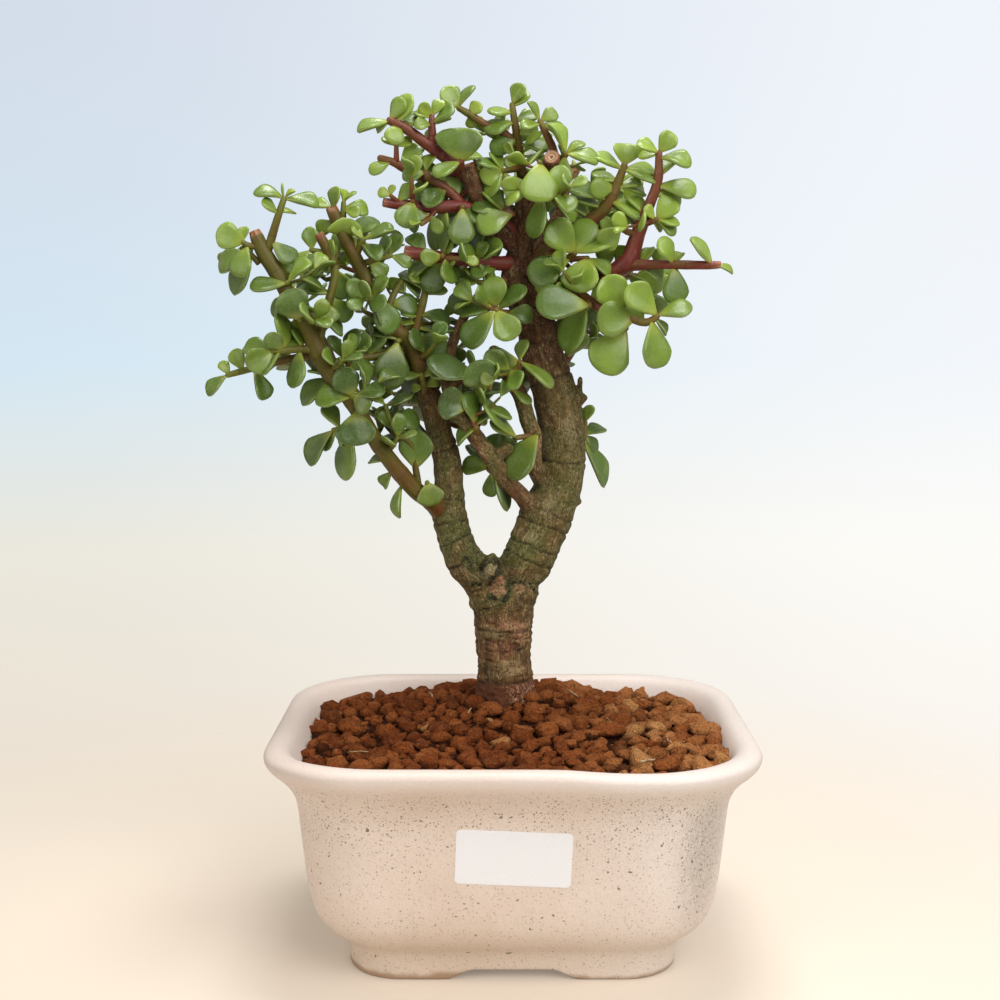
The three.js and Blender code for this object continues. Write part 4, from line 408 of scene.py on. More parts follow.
# Leafy stems behind, whose leaves stand in crossed pairs
BACK_STEMS = {
  "back_leader": [[10, 228, 30, 2.4], [8, 236, 42, 1.9], [6, 246, 54, 1.6], [4, 256, 64, 1.2]],
  "back_right_top": [[4, 256, 30, 2.4], [11, 262, 41, 1.9], [19, 268, 52, 1.6], [24, 275, 61, 1.2]],
  "back_left_top": [[3, 260, 30, 2.3], [-6, 266, 42, 1.8], [-12, 273, 53, 1.5], [-15, 281, 61, 1.2]],
  "back_left_limb": [[-29, 194, 23, 2.4], [-37, 206, 35, 1.9], [-46, 218, 46, 1.6], [-54, 229, 54, 1.2]],
  "back_middle": [[-27, 186, 24, 2.3], [-25, 200, 37, 1.9], [-23, 214, 48, 1.6], [-22, 226, 56, 1.2]],
  "back_right_limb": [[15, 212, 32, 2.3], [22, 221, 43, 1.9], [28, 231, 53, 1.6], [32, 240, 60, 1.2]],
  "back_top": [[3.5, 274, 27, 2], [8, 283, 36, 1.7], [11, 291, 44, 1.5], [11, 298, 50, 1.1]],
  "back_top_left": [[3.4, 270, 28, 2.2], [-7, 281, 36, 1.8], [-17, 290, 43, 1.5], [-24, 297, 48, 1.1]],
  "back_right_outer": [[24, 268, 24, 2.1], [31, 272, 35, 1.7], [38, 276, 45, 1.5], [44, 280, 53, 1.1]],
  "back_left_outer": [[-50, 237, 10, 2.1], [-55, 245, 22, 1.8], [-60, 255, 34, 1.5], [-64, 264, 42, 1.1]],
  "back_left_low": [[-66, 208, 1, 2.1], [-70, 220, 14, 1.8], [-77, 234, 25, 1.5], [-84, 246, 33, 1.1]],
  "back_right_low": [[34, 250.5, 17, 2.1], [42, 247, 29, 1.7], [50, 246, 40, 1.5], [56, 248, 49, 1.1]],
}

class Draw:
    """Repeatable random numbers, the same ones as the solids use"""

    def __init__(self, seed):
        self.state = seed

    def __call__(self, low=0.0, high=1.0):
        self.state = (self.state * 1664525 + 1013904223) & 0xFFFFFFFF
        return low + (high - low) * self.state / 4294967296


def sight(x, z, y):
    """The point that shows at x, z on the plane through the trunk and lies at depth y"""
    along = (y - EYE.y) / (TRUNK_DEPTH - EYE.y)
    return Vector((EYE.x + (x - EYE.x) * along, y, EYE.z + (z - EYE.z) * along))


def from_front(point):
    """Where a point shows on the plane through the trunk, as x and height"""
    along = (point.y - EYE.y) / (TRUNK_DEPTH - EYE.y)
    return EYE.x + (point.x - EYE.x) / along, EYE.z + (point.z - EYE.z) / along


def clamp(value, low=0.0, high=1.0):
    return max(low, min(high, value))


def ease(value, low, high):
    """0 below low, 1 above high, and a smooth rise between them"""
    t = clamp((value - low) / (high - low))
    return t * t * (3 - 2 * t)


def bell(distance, width):
    """1 at distance 0, fading out over about twice the width"""
    return math.exp(-((distance / width) ** 2))


def square_to(axis, vector):
    """The direction of the part of a vector that is square to an axis"""
    return (vector - axis * vector.dot(axis)).normalized()


def share_along(low, high, x, z):
    """How far along a stretch seen from the front its nearest place to x, z lies, from 0 to 1"""
    dx, dz = high[0] - low[0], high[1] - low[1]
    return clamp(((x - low[0]) * dx + (z - low[1]) * dz) / (dx * dx + dz * dz + 1e-9))


def share_to(start, line, point):
    """How far along a straight line the place nearest to a point lies, from 0 to 1"""
    return clamp((point - start).dot(line) / line.length_squared)


def lengths_along(points):
    """How far each point lies along a line"""
    lengths = [0.0]
    for low, high in zip(points, points[1:]):
        lengths.append(lengths[-1] + (high - low).length)
    return lengths


def part_at(lengths, reach):
    """The number of the point that ends the part of a line in which a distance falls"""
    part = 1
    while part < len(lengths) - 1 and lengths[part] < reach:
        part += 1
    return part


def place_along(points, lengths, reach):
    """The part of a line in which a distance falls, the line's direction there, and the place"""
    part = part_at(lengths, reach)
    axis = (points[part] - points[part - 1]).normalized()
    return part, axis, points[part - 1] + axis * (reach - lengths[part - 1])


# Leaves: each is its root on the stem's axis, its tip, its width and the way its upper side faces

# Pairs by rule: where the first stands, how far apart they are, and how long and how far out their leaves lean
FIRST_PAIR = 12
PAIR_STEP = 8.6
PAIR_LENGTH = 12.5
PAIR_LEAN = math.radians(57)
# How close a leaf may come to wood and to another blade, and at what distances of their roots two leaves are compared
WOOD_MARGIN = 0.8
BLADE_MARGIN = 1.4
SAME_PAIR = 2
FAR_APART = 40
# Straight lengths of wood that leaves keep clear of, as start, line and radius
WOOD_CAPSULES = [
    (sight(*low[:3]), sight(*high[:3]) - sight(*low[:3]), max(low[3], high[3]))
    for rows in WOOD.values()
    for low, high in zip(rows, rows[1:])
]


def nearest_on_stems(stems, x, z):
    """The place on a shoot's stems that shows nearest to x, z, as x, z, y"""
    best, best_gap = None, math.inf
    for rows in stems:
        for low, high in zip(rows, rows[1:]):
            t = share_along(low, high, x, z)
            near = [start + t * (end - start) for start, end in zip(low[:3], high[:3])]
            gap = math.hypot(near[0] - x, near[1] - z)
            if gap < best_gap:
                best, best_gap = near, gap
    return best


def new_leaf(root, tip, width, face):
    """A leaf with the five points of its blade that have to stay clear of other leaves"""
    line = tip - root
    axis = line.normalized()
    across = axis.cross(face)
    middle = root + line * 0.62
    edge = across * 0.42 * width
    return {
        "root": root, "tip": tip, "width": width, "length": line.length,
        "face": face, "axis": axis, "across": across,
        "points": [root + line * 0.38, middle, middle + edge, middle - edge, tip],
    }


def measured_leaf(stems, row):
    """A leaf read from the front: its blade is turned on its axis until it shows as wide as it was seen"""
    base_x, base_z, tip_x, tip_z, seen_width, deeper = row
    root_x, root_z, root_y = nearest_on_stems(stems, base_x, base_z)
    root = sight(root_x, root_z, root_y)
    tip = sight(tip_x, tip_z, root_y + deeper)
    axis = (tip - root).normalized()
    width = max(seen_width, LEAF_ASPECT * (tip - root).length)
    turn = math.acos(clamp((seen_width - EDGE_ON_THICK) / (width - EDGE_ON_THICK), 0.1, 1))
    facing = square_to(axis, (EYE - root).normalized())
    side = axis.cross(facing)
    if side.z < 0:
        side.negate()
    return new_leaf(root, tip, width, facing * math.cos(turn) + side * math.sin(turn))


def leaning_leaf(root, axis, lean, turn, size, width, lift):
    """A leaf that leans out from a stem, turned round it, its upper side to the stem's tip and to lift"""
    flat = square_to(axis, Vector((0, 0, 1)))
    radial = flat * math.cos(turn) + axis.cross(flat) * math.sin(turn)
    direction = axis * math.cos(lean) + radial * math.sin(lean)
    return new_leaf(root, root + direction * size, width, square_to(direction, axis + lift))


def touches_wood(point):
    for start, line, radius in WOOD_CAPSULES:
        if (point - start - line * share_to(start, line, point)).length < radius + WOOD_MARGIN:
            return True
    return False


def in_blade(leaf, point):
    """True where a point lies in a leaf's blade or just over or under it"""
    offset = point - leaf["root"]
    if abs(offset.dot(leaf["face"])) >= BLADE_MARGIN:
        return False
    along = offset.dot(leaf["axis"]) / leaf["length"] - 0.58
    across = offset.dot(leaf["across"]) / (0.5 * leaf["width"])
    return (along / 0.5) ** 2 + across**2 < 1.15


def is_clear(leaf, others):
    """True where the leaf cuts through no wood and no other leaf. Leaves of one pair may meet at their roots."""
    if any(touches_wood(point) for point in leaf["points"]):
        return False
    for other in others:
        if SAME_PAIR <= (other["root"] - leaf["root"]).length <= FAR_APART:
            if any(in_blade(other, p) for p in leaf["points"]) or any(in_blade(leaf, p) for p in other["points"]):
                return False
    return True


def paired_leaves(points, draw, others):
    """Crossed pairs of leaves along a stem, with a smaller pair at its tip"""
    leaves = []
    lengths = lengths_along(points)
    pairs = math.floor((lengths[-1] - FIRST_PAIR) / PAIR_STEP) + 1
    phase = 2 * math.pi * draw()
    for pair in range(pairs + 1):
        at_tip = pair == pairs
        axis, root = place_along(points, lengths, min(lengths[-1], FIRST_PAIR + pair * PAIR_STEP))[1:]
        for side in range(2):
            size = PAIR_LENGTH * (0.78 + 0.4 * draw()) * (0.6 if at_tip else 1)
            lean = PAIR_LEAN * (0.5 if at_tip else 0.85 + 0.3 * draw())
            start = phase + math.pi / 2 * pair + math.pi * side + 0.5 * (draw() - 0.5)
            for attempt in range(7):
                turn = start + math.ceil(attempt / 2) * 0.42 * (1 if attempt % 2 else -1)
                width = size * (0.7 + 0.12 * math.sin(7 * turn))
                leaf = leaning_leaf(root, axis, lean, turn, size, width, Vector((0, 0, 0.4)))
                if is_clear(leaf, others):
                    leaves.append(leaf)
                    others.append(leaf)
                    break
    return leaves


# Mesh helpers

# Rings that close a tube past its last point, as shares of its radius: how wide, and how far past
TUBE_ENDS = {"round": ((0.8, 0.45), (0.4, 0.75)), "cut": ((0.93, 0.16), (0.6, 0.1), (0.3, -0.05))}
# Leaves longer than this many millimetres have so many faces across them
LEAF_DETAIL = ((15, 8), (11, 6), (8.5, 5), (0, 4))


def to_mesh(bm, name):
    """Ends a bmesh and keeps its shape"""
    mesh = bpy.data.meshes.new(name)
    bm.to_mesh(mesh)
    bm.free()
    return mesh


def in_scene(name, data):
    thing = bpy.data.objects.new(name, data)
    bpy.context.scene.collection.objects.link(thing)
    return thing


def painted_mesh():
    """An empty bmesh that carries grain, the place along a stem in millimetres, and paint, what its finish reads"""
    bm = bmesh.new()
    bm.verts.layers.float_vector.new("grain")
    bm.verts.layers.float_color.new("paint")
    return bm


def smooth_line(rows, step):
    """Rows of [x, z, y, radius] as a smooth line of knots about step apart: x, y, z, radius, seen height"""
    knots = [Vector((*sight(x, z, y), radius, z)) for x, z, y, radius in rows]
    line = []
    for i in range(len(knots) - 1):
        four = [knots[clamp(i + k, 0, len(knots) - 1)] for k in (-1, 0, 1, 2)]
        count = max(1, round((Vector(four[2][:3]) - Vector(four[1][:3])).length / step))
        for k in range(count):
            t = k / count
            shares = (
                -0.5 * t + t * t - 0.5 * t**3,
                1 - 2.5 * t * t + 1.5 * t**3,
                0.5 * t + 2 * t * t - 1.5 * t**3,
                -0.5 * t * t + 0.5 * t**3,
            )
            knot = Vector((0, 0, 0, 0, 0))
            for share, other in zip(shares, four):
                knot += other * share
            line.append(knot)
    return line + [knots[-1]]


def ring_frames(points):
    """A frame at each point, its Z along the line, turned as little as it can be from one to the next"""
    frames = []
    across = Vector((0.3, -1, 0.2))
    for i, point in enumerate(points):
        axis = (points[min(i + 1, len(points) - 1)] - points[max(i - 1, 0)]).normalized()
        across = square_to(axis, across)
        turned = Matrix((across, axis.cross(across), axis)).transposed().to_4x4()
        frames.append(Matrix.Translation(point) @ turned)
    return frames


def next_ring(bm, edges):
    """Extrudes a ring of edges where it lies, and gives the new ring's points and edges"""
    made = bmesh.ops.extrude_edge_only(bm, edges=edges)["geom"]
    verts = [item for item in made if isinstance(item, bmesh.types.BMVert)]
    new = set(verts)
    return verts, [item for item in made if isinstance(item, bmesh.types.BMEdge) and new.issuperset(item.verts)]


def add_tube(whole, points, radii, sides, paints=None, end="round"):
    """A closed tube through points, its far end round or cut off with a sunk middle. paints are colours by ring."""
    frames = ring_frames(points)
    rings = [(place, radius, 0.0) for place, radius in zip(frames, radii)]
    rings += [(frames[-1], wide * radii[-1], past * radii[-1]) for wide, past in TUBE_ENDS[end]]
    bm = painted_mesh()
    grain = bm.verts.layers.float_vector["grain"]
    paint = bm.verts.layers.float_color["paint"]
    along = 0.0
    before = None
    for i, (frame_here, radius, past) in enumerate(rings):
        place = frame_here @ Matrix.Translation((0, 0, past)) @ Matrix.Diagonal((radius, radius, 1, 1))
        if before is None:
            verts = bmesh.ops.create_circle(bm, cap_ends=True, segments=sides, radius=1, matrix=place)["verts"]
            edges = list({edge for vert in verts for edge in vert.link_edges})
        else:
            verts, edges = next_ring(bm, edges)
            bmesh.ops.transform(bm, matrix=place @ before.inverted(), verts=verts)
            along += (place.translation - before.translation).length
        before = place
        if paints:
            back = frame_here.inverted()
            for vert in verts:
                local = back @ vert.co
                vert[grain] = (local.x, local.y, along)
                vert[paint] = paints[min(i, len(paints) - 1)]
    bmesh.ops.edgeloop_fill(bm, edges=edges)
    tube = to_mesh(bm, "tube")
    whole.from_mesh(tube)
    bpy.data.meshes.remove(tube)


def leaf_blanks():
    """Round cushions that leaves are shaped from, by the number of faces across them: X along, Y across"""
    blanks = {}
    for _, across in LEAF_DETAIL:
        bm = bmesh.new()
        bmesh.ops.create_cube(bm, size=2)
        level = [edge for edge in bm.edges if edge.verts[0].co.z == edge.verts[1].co.z]
        bmesh.ops.subdivide_edges(bm, edges=level, cuts=across - 1, use_grid_fill=True)
        bmesh.ops.bisect_plane(bm, geom=bm.verts[:] + bm.edges[:] + bm.faces[:], plane_no=(0, 0, 1), dist=1e-4)
        for vert in bm.verts:
            x, y, z = vert.co
            vert.co = (x * math.sqrt(1 - y * y / 2), y * math.sqrt(1 - x * x / 2), z)
        blanks[across] = to_mesh(bm, "leaf_blank")
    return blanks


def add_leaf(bm, blanks, leaf, draw):
    """A thick jade leaf with an egg-shaped outline and a narrow round rim, folded, bent and twisted a little"""
    root, tip, axis, width, length = (leaf[part] for part in ("root", "tip", "axis", "width", "length"))
    open_to_front = abs(leaf["face"].dot((EYE - root).normalized()))
    tilt = Matrix.Rotation(draw(-0.45, 0.45) * open_to_front**2, 3, axis)
    across = (tilt @ leaf["face"]).cross(axis).normalized()
    out = axis.cross(across)
    thick = clamp(0.082 * length, 0.45, 1.15)
    cup = draw(-0.13, 0.15)
    bow = draw(-0.02, 0.09)
    fold = draw(-0.05, 0.6) * (1 - 0.5 * ease(length, 12, 17))
    twist = draw(-0.4, 0.4)
    sway = draw(-0.05, 0.05)
    notch = draw(-0.03, 0.05)
    widest = draw(0.54, 0.8)
    full = 0.24 + 0.4 * clamp((width / length - 0.6) / 0.3)
    young = clamp(ease(10.5 - length, 0, 6) + draw(-0.15, 0.2))
    # Tone: a random share, lighter green high up and to the right, darker behind and in the thick of the crown. That
    # is partly older leaves inside, partly painted light where the light falls and painted shade inside the crown
    tone = clamp(0.08 + 0.6 * draw() + 0.38 * ease(tip.z, 190, 310) - 0.3 * ease(tip.y, 24, 60))
    tone = clamp(tone - 0.3 * bell(tip.x + 36, 24) * bell(tip.z - 235, 38) + 0.28 * ease(tip.x, 5, 40))
    paint = bm.verts.layers.float_color["paint"]
    before = len(bm.verts)
    bm.from_mesh(blanks[next(across for shortest, across in LEAF_DETAIL if length > shortest)])
    bm.verts.ensure_lookup_table()
    for vert in bm.verts[before:]:
        x, y, level = vert.co
        between = abs(level) < 0.5
        reach = math.hypot(x, y)
        turn = math.atan2(y, x) if reach > 1e-4 else 0.0
        # The pale rim paint: partly a paler margin, partly a painted highlight along the edge
        rim = (1.0 if between else 0.1) if reach > 0.99 else 0.0
        reach *= 1.0 if between else 0.93
        u = (0.5 + 0.5 * math.cos(turn)) ** 0.8
        half = math.sin(turn) * min(1.07, full + (1.1 - full) * u / widest) * reach
        u = 0.5 + (1.01 * u - 0.5) * reach - notch * ease(u, 0.9, 1) * reach
        height = level * thick * (1 - 0.4 * reach**2.5) * (0.5 + 0.5 * min(1, u / 0.35))
        height += length * (cup * u * u + bow * 4 * u * (1 - u)) + fold * abs(half) ** 1.3 * 0.5 * width
        side = 0.5 * width * half
        turned = twist * (u - 0.4)
        raised = height * math.cos(turned) + side * math.sin(turned)
        side = side * math.cos(turned) - height * math.sin(turned) + sway * length * u * (1 - u) * 4
        vert.co = root + axis * (length * u) + across * side + out * raised
        vert[paint] = (tone, young, rim, clamp(u))


def new_piece(name, bm, materials, smooth=True, levels=0, fix_normals=True):
    """Ends a piece: welds it, points its faces out, brings it into the model's frame and gives it its materials"""
    bmesh.ops.remove_doubles(bm, verts=bm.verts, dist=1e-5)
    if fix_normals:
        bmesh.ops.recalc_face_normals(bm, faces=bm.faces)
    bmesh.ops.transform(bm, matrix=TO_FRAME, verts=bm.verts)
    for face in bm.faces:
        face.smooth = smooth
    piece = in_scene(name, to_mesh(bm, name))
    for material in materials:
        piece.data.materials.append(material)
    if levels:
        finer = piece.modifiers.new("finer", "SUBSURF")
        finer.levels = finer.render_levels = levels
    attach(piece, "root")
    return piece


# Finishes


def colour(code):
    """A colour from its six-figure code, in the shaders' linear numbers"""
    parts = [int(code[i : i + 2], 16) / 255 for i in (0, 2, 4)]
    return tuple(part / 12.92 if part <= 0.04045 else ((part + 0.055) / 1.055) ** 2.4 for part in parts) + (1,)


class Bench:
    """Sets nodes down in a tree and joins them. A value given for a socket is a number, a colour or another socket."""

    def __init__(self, tree):
        self.tree = tree

    def give(self, socket, value):
        if isinstance(value, bpy.types.NodeSocket):
            self.tree.links.new(value, socket)
        else:
            socket.default_value = value

    def put(self, kind, values=None, **settings):
        """A new node with its settings and the values of its sockets"""
        node = self.tree.nodes.new("ShaderNode" + kind)
        for name, setting in settings.items():
            setattr(node, name, setting)
        for name, value in (values or {}).items():
            self.give(node.inputs[name], value)
        return node

    def calculate(self, operation, first, second):
        return self.put("Math", {0: first, 1: second}, operation=operation).outputs[0]

    def plus(self, first, second):
        return self.calculate("ADD", first, second)

    def times(self, first, *others):
        for other in others:
            first = self.calculate("MULTIPLY", first, other)
        return first

    def vector(self, operation, first, second):
        return self.put("VectorMath", {0: first, 1: second}, operation=operation).outputs[0]

    def length(self, vector):
        return self.put("VectorMath", {0: vector}, operation="LENGTH").outputs["Value"]

    def split(self, vector):
        return self.put("SeparateXYZ", {0: vector}).outputs

    def range(self, value, low, high, to_low=0.0, to_high=1.0):
        """A smooth change from to_low where the value is low to to_high where it is high"""
        values = {"Value": value, "From Min": low, "From Max": high, "To Min": to_low, "To Max": to_high}
        return self.put("MapRange", values, interpolation_type="SMOOTHSTEP").outputs[0]

    def ramp(self, value, *stops):
        """A colour by a value. Stops are places from 0 to 1 and colours' codes."""
        node = self.put("ValToRGB", {"Fac": value})
        elements = node.color_ramp.elements
        while len(elements) < len(stops):
            elements.new(0.5)
        for element, (place, code) in zip(elements, stops):
            element.position = place
            element.color = colour(code)
        return node.outputs[0]

    def layers(self, base, *layers):
        """A colour with others laid over it in turn. Each is its share, and a colour's code or a socket."""
        for share, over in layers:
            over = colour(over) if isinstance(over, str) else over
            base = self.put("Mix", {0: share, 6: base, 7: over}, data_type="RGBA").outputs[2]
        return base

    def bump(self, height, depth):
        return self.put("Bump", {"Height": height, "Distance": depth}).outputs[0]


def effect(name, make, output, **inputs):
    """A node group for an effect that several finishes share. make sets its nodes down and returns its result."""
    tree = bpy.data.node_groups.new(name, "ShaderNodeTree")
    for socket, kind in inputs.items():
        tree.interface.new_socket(socket, in_out="INPUT", socket_type="NodeSocket" + kind)
    tree.interface.new_socket(output, in_out="OUTPUT", socket_type="NodeSocketFloat")
    given = tree.nodes.new("NodeGroupInput").outputs
    result = tree.nodes.new("NodeGroupOutput").inputs
    tree.links.new(make(Bench(tree), given), result[output])
    return tree


def make_mottle(bench, given):
    """Soft uneven patches, 0 where their noise is Low and 1 where it is High"""
    values = {"Vector": given["Vector"], "Scale": given["Scale"], "Detail": 5.0, "Roughness": 0.6}
    return bench.range(bench.put("TexNoise", values).outputs["Fac"], given["Low"], given["High"])


def make_specks(bench, given):
    """Round specks: one may lie in each cell, and only a share of the cells has one"""
    place, scale = given["Vector"], given["Scale"]
    wobble = bench.put("TexNoise", {"Vector": place, "Scale": bench.times(scale, 1.6), "Detail": 2.0})
    moved = bench.vector("ADD", wobble.outputs["Color"], (-0.5, -0.5, -0.5))
    values = {0: moved, "Scale": bench.calculate("DIVIDE", 0.9, scale)}
    moved = bench.vector("ADD", place, bench.put("VectorMath", values, operation="SCALE").outputs[0])
    cells = bench.put("TexVoronoi", {"Vector": moved, "Scale": scale}).outputs
    chance = bench.put("SeparateColor", {0: cells["Color"]}).outputs[0]
    speck = bench.range(cells["Distance"], given["Size"], bench.times(given["Size"], 0.5))
    return bench.times(speck, bench.calculate("LESS_THAN", chance, given["Share"]))


def make_fibres(bench, given):
    """Streaks that run along a stem, from the grain attribute in millimetres"""
    grain = bench.put("Attribute", attribute_name="grain").outputs["Vector"]
    stretch = bench.put("CombineXYZ", {0: 1.0, 1: 1.0, 2: given["Stretch"]}).outputs[0]
    values = {"Vector": bench.vector("MULTIPLY", grain, stretch), "Scale": given["Scale"]}
    values.update({"Detail": 6.0, "Roughness": 0.65, "Distortion": 0.4})
    return bench.range(bench.put("TexNoise", values).outputs["Fac"], 0.25, 0.75)


MOTTLE = effect("mottle", make_mottle, "Value", Vector="Vector", Scale="Float", Low="Float", High="Float")
SPECKS = effect("specks", make_specks, "Mask", Vector="Vector", Scale="Float", Size="Float", Share="Float")
FIBRES = effect("fibres", make_fibres, "Value", Scale="Float", Stretch="Float")


class Finish(Bench):
    """A new material, whose patterns read the place on the object"""

    def __init__(self, name):
        self.material = bpy.data.materials.new(name)
        self.material.use_nodes = True
        super().__init__(self.material.node_tree)
        self.place = self.put("TexCoord").outputs["Object"]

    def mottle(self, scale, low=0.3, high=0.7):
        values = {"Vector": self.place, "Scale": scale, "Low": low, "High": high}
        return self.put("Group", values, node_tree=MOTTLE).outputs[0]

    def specks(self, scale, size, share):
        values = {"Vector": self.place, "Scale": scale, "Size": size, "Share": share}
        return self.put("Group", values, node_tree=SPECKS).outputs[0]

    def fibres(self, scale, stretch):
        return self.put("Group", {"Scale": scale, "Stretch": stretch}, node_tree=FIBRES).outputs[0]

    def grain(self):
        return self.put("Attribute", attribute_name="grain").outputs["Vector"]

    def paint(self):
        """The four values of the paint attribute"""
        attribute = self.put("Attribute", attribute_name="paint").outputs
        red, green, blue = self.put("SeparateColor", {0: attribute["Color"]}).outputs
        return red, green, blue, attribute["Alpha"]

    def done(self, **sockets):
        """Gives the shader its values, sockets by their names with _ for a space, and hands over the material"""
        shader = self.tree.nodes["Principled BSDF"]
        for name, value in sockets.items():
            self.give(shader.inputs[name.replace("_", " ")], value)
        return self.material


def leaf_finish():
    """Waxy green leaves, yellower when young and at their roots, with pale rims and a few dark dots. The rims are
    partly a paler margin and partly a painted highlight; the pale grey patches are partly a waxy bloom and partly
    painted sheen
    """
    bench = Finish("jade_leaf")
    tone, young, rim, along = bench.paint()
    patches = bench.mottle(130, 0.35)
    fine = bench.mottle(1400)
    green = bench.layers(
        # The tone carries painted light and shade from each leaf's place in the crown
        bench.ramp(tone, (0.0, "2c4609"), (0.5, "57761a"), (1.0, "8eaa38")),
        (bench.times(young, 0.8), "a2b534"),
        (bench.times(patches, 0.35), "3f5a16"),
        # Pale grey patches: partly a waxy bloom, partly painted sheen
        (bench.times(bench.mottle(75, 0.5, 0.72), 0.32), "a4b67c"),
        (bench.times(fine, 0.16), "a9ba78"),
        (bench.range(along, 0.42, 0.02, 0, 0.65), "b0b548"),
        # Pale rims: partly a paler margin, partly a painted highlight where the edge catches the light
        (bench.range(rim, 0.45, 1.0, 0, 0.46), "bcc97c"),
        (bench.times(bench.specks(240, 0.1, 0.035), 0.75), "27300f"),
    )
    return bench.done(
        Base_Color=green, Roughness=bench.range(patches, 0, 1, 0.28, 0.44), Normal=bench.bump(fine, 0.00003),
        Specular_IOR_Level=0.5, Coat_Weight=0.17, Coat_Roughness=0.2,
    )


def stem_finish():
    """Smooth young bark, olive or red, with dark rings, healed patches and sawn ends"""
    bench = Finish("young_stem")
    red, young, rings, cut = bench.paint()
    fibres = bench.fibres(0.9, 0.16)
    redder = bench.plus(red, bench.range(bench.mottle(110), 0, 1, -0.16, 0.16))
    redder = bench.plus(redder, bench.range(bench.split(bench.grain())[1], 0.4, 3.2, 0, 0.32))
    healed = bench.times(bench.mottle(260, 0.6, 0.68), bench.range(redder, 0.7, 0.95, 0, 0.4))
    sawn = bench.ramp(fibres, (0.15, "84432c"), (0.5, "b56e4b"), (0.85, "dab48c"))
    skin = bench.layers(
        bench.ramp(redder, (0.12, "5f5913"), (0.36, "664d18"), (0.6, "763c25"), (0.85, "7e302b"), (1.0, "722428")),
        (bench.times(young, 0.8), "7f8a36"),
        (bench.range(fibres, 0.5, 1, 0, 0.14), "a98f63"),
        (bench.range(fibres, 0.4, 0, 0, 0.25), "47311e"),
        (bench.times(rings, 0.5), "3f2d1a"),
        (healed, "b98a78"),
        (bench.times(cut, 0.9), sawn),
    )
    return bench.done(
        Base_Color=skin, Roughness=bench.range(redder, 0.4, 1, 0.46, 0.3), Normal=bench.bump(fibres, 0.0001),
        Specular_IOR_Level=0.38,
    )


def bark_finish():
    """Old bark: brown under rust, moss, light strands, pale bare wood and dark crust, and clay dust at its foot. Its
    small glints are painted highlights, and part of its dark is painted shade.
    """
    bench = Finish("bark")
    red, moss, dark, mark = bench.paint()
    strands = bench.fibres(1.5, 0.17)
    wide = bench.fibres(0.42, 0.3)
    plates = bench.fibres(0.5, 2.4)
    chips = bench.fibres(3.2, 0.3)
    patches = bench.mottle(85, 0.36, 0.64)
    flecks = bench.mottle(300, 0.4, 0.62)
    crumbs = bench.mottle(850, 0.32, 0.68)
    foot = bench.range(bench.split(bench.place)[2], 0.0955, 0.0925)

    rust = bench.ramp(wide, (0.0, "43210f"), (0.5, "6e3b26"), (1.0, "99603f"))
    green = bench.ramp(crumbs, (0.0, "464a1f"), (0.5, "5e622c"), (1.0, "797b45"))
    light = bench.times(
        bench.range(strands, 0.57, 0.8), bench.range(flecks, 0.15, 0.8), bench.range(moss, 0.2, 0.8, 1, 0.45), 0.7
    )
    pale = bench.times(
        bench.range(mark, 0, 0.7), bench.range(crumbs, 0.05, 0.6, 0.35, 1), bench.range(plates, 0.2, 0.65, 0.3, 1),
        bench.calculate("SUBTRACT", 1.0, foot), 0.95,
    )
    flesh = bench.layers(colour("b3aa80"), (bench.range(red, 0.15, 0.6), "c49169"))
    # Glints: small painted highlights on the bark's flecks
    glints = bench.times(bench.range(chips, 0.68, 0.84), bench.range(flecks, 0.1, 0.6, 0.25, 1), 0.75)
    overgrown = bench.range(bench.calculate("MAXIMUM", red, moss), 0.4, 0.9, 1, 0.5)
    grooves = bench.times(bench.range(strands, 0.34, 0.08, 0, 0.6), overgrown)
    crust = bench.range(bench.plus(moss, bench.range(crumbs, 0, 1, -0.14, 0.14)), 0.8, 0.93)
    flakes = bench.times(
        foot, mark, bench.range(chips, 0.45, 0.65), bench.range(patches, 0.3, 0.7, 0.3, 1),
        bench.range(crumbs, 0.2, 0.7, 0.05, 0.9),
    )
    from_middle = bench.length(bench.vector("MULTIPLY", bench.grain(), (1.0, 1.0, 0.0)))
    sawn = bench.ramp(
        bench.calculate("DIVIDE", from_middle, 3.6),
        (0.06, "8a4a33"), (0.14, "c08260"), (0.3, "f0d8b8"), (0.42, "b5714d"), (0.56, "dfb891"), (0.8, "94502f"),
    )
    skin = bench.layers(
        bench.ramp(wide, (0.0, "523f1c"), (0.5, "765f2d"), (1.0, "967c45")),
        (bench.times(red, bench.range(patches, 0, 1, 0.6, 1)), rust),
        (bench.times(bench.range(moss, 0, 0.7), bench.range(patches, 1, 0.1, 0.45, 0.9)), green),
        (light, "bba474"),
        (pale, flesh),
        (glints, "d6c195"),
        (grooves, "2d2112"),
        (bench.range(crumbs, 0.3, 0.0, 0, 0.3), "33271a"),
        (crust, bench.ramp(crumbs, (0.1, "1f1a0f"), (0.5, "3b3820"), (0.9, "6b6740"))),
        (bench.times(foot, 0.9), "643419"),
        (flakes, "e0ad8a"),
        # Dark: cracks and dark patches, with painted shade high on the right limb and under the bulge on the trunk
        (bench.times(dark, 0.85), "1b130a"),
        (bench.range(mark, 0.9, 1), sawn),
    )
    relief = bench.plus(bench.times(strands, 0.5), bench.plus(bench.times(flecks, 0.3), bench.times(crumbs, 0.3)))
    relief = bench.plus(relief, bench.times(crust, crumbs, 0.8))
    return bench.done(
        Base_Color=skin, Roughness=bench.range(crumbs, 0, 1, 0.88, 0.66), Normal=bench.bump(relief, 0.0007),
        Specular_IOR_Level=0.4,
    )


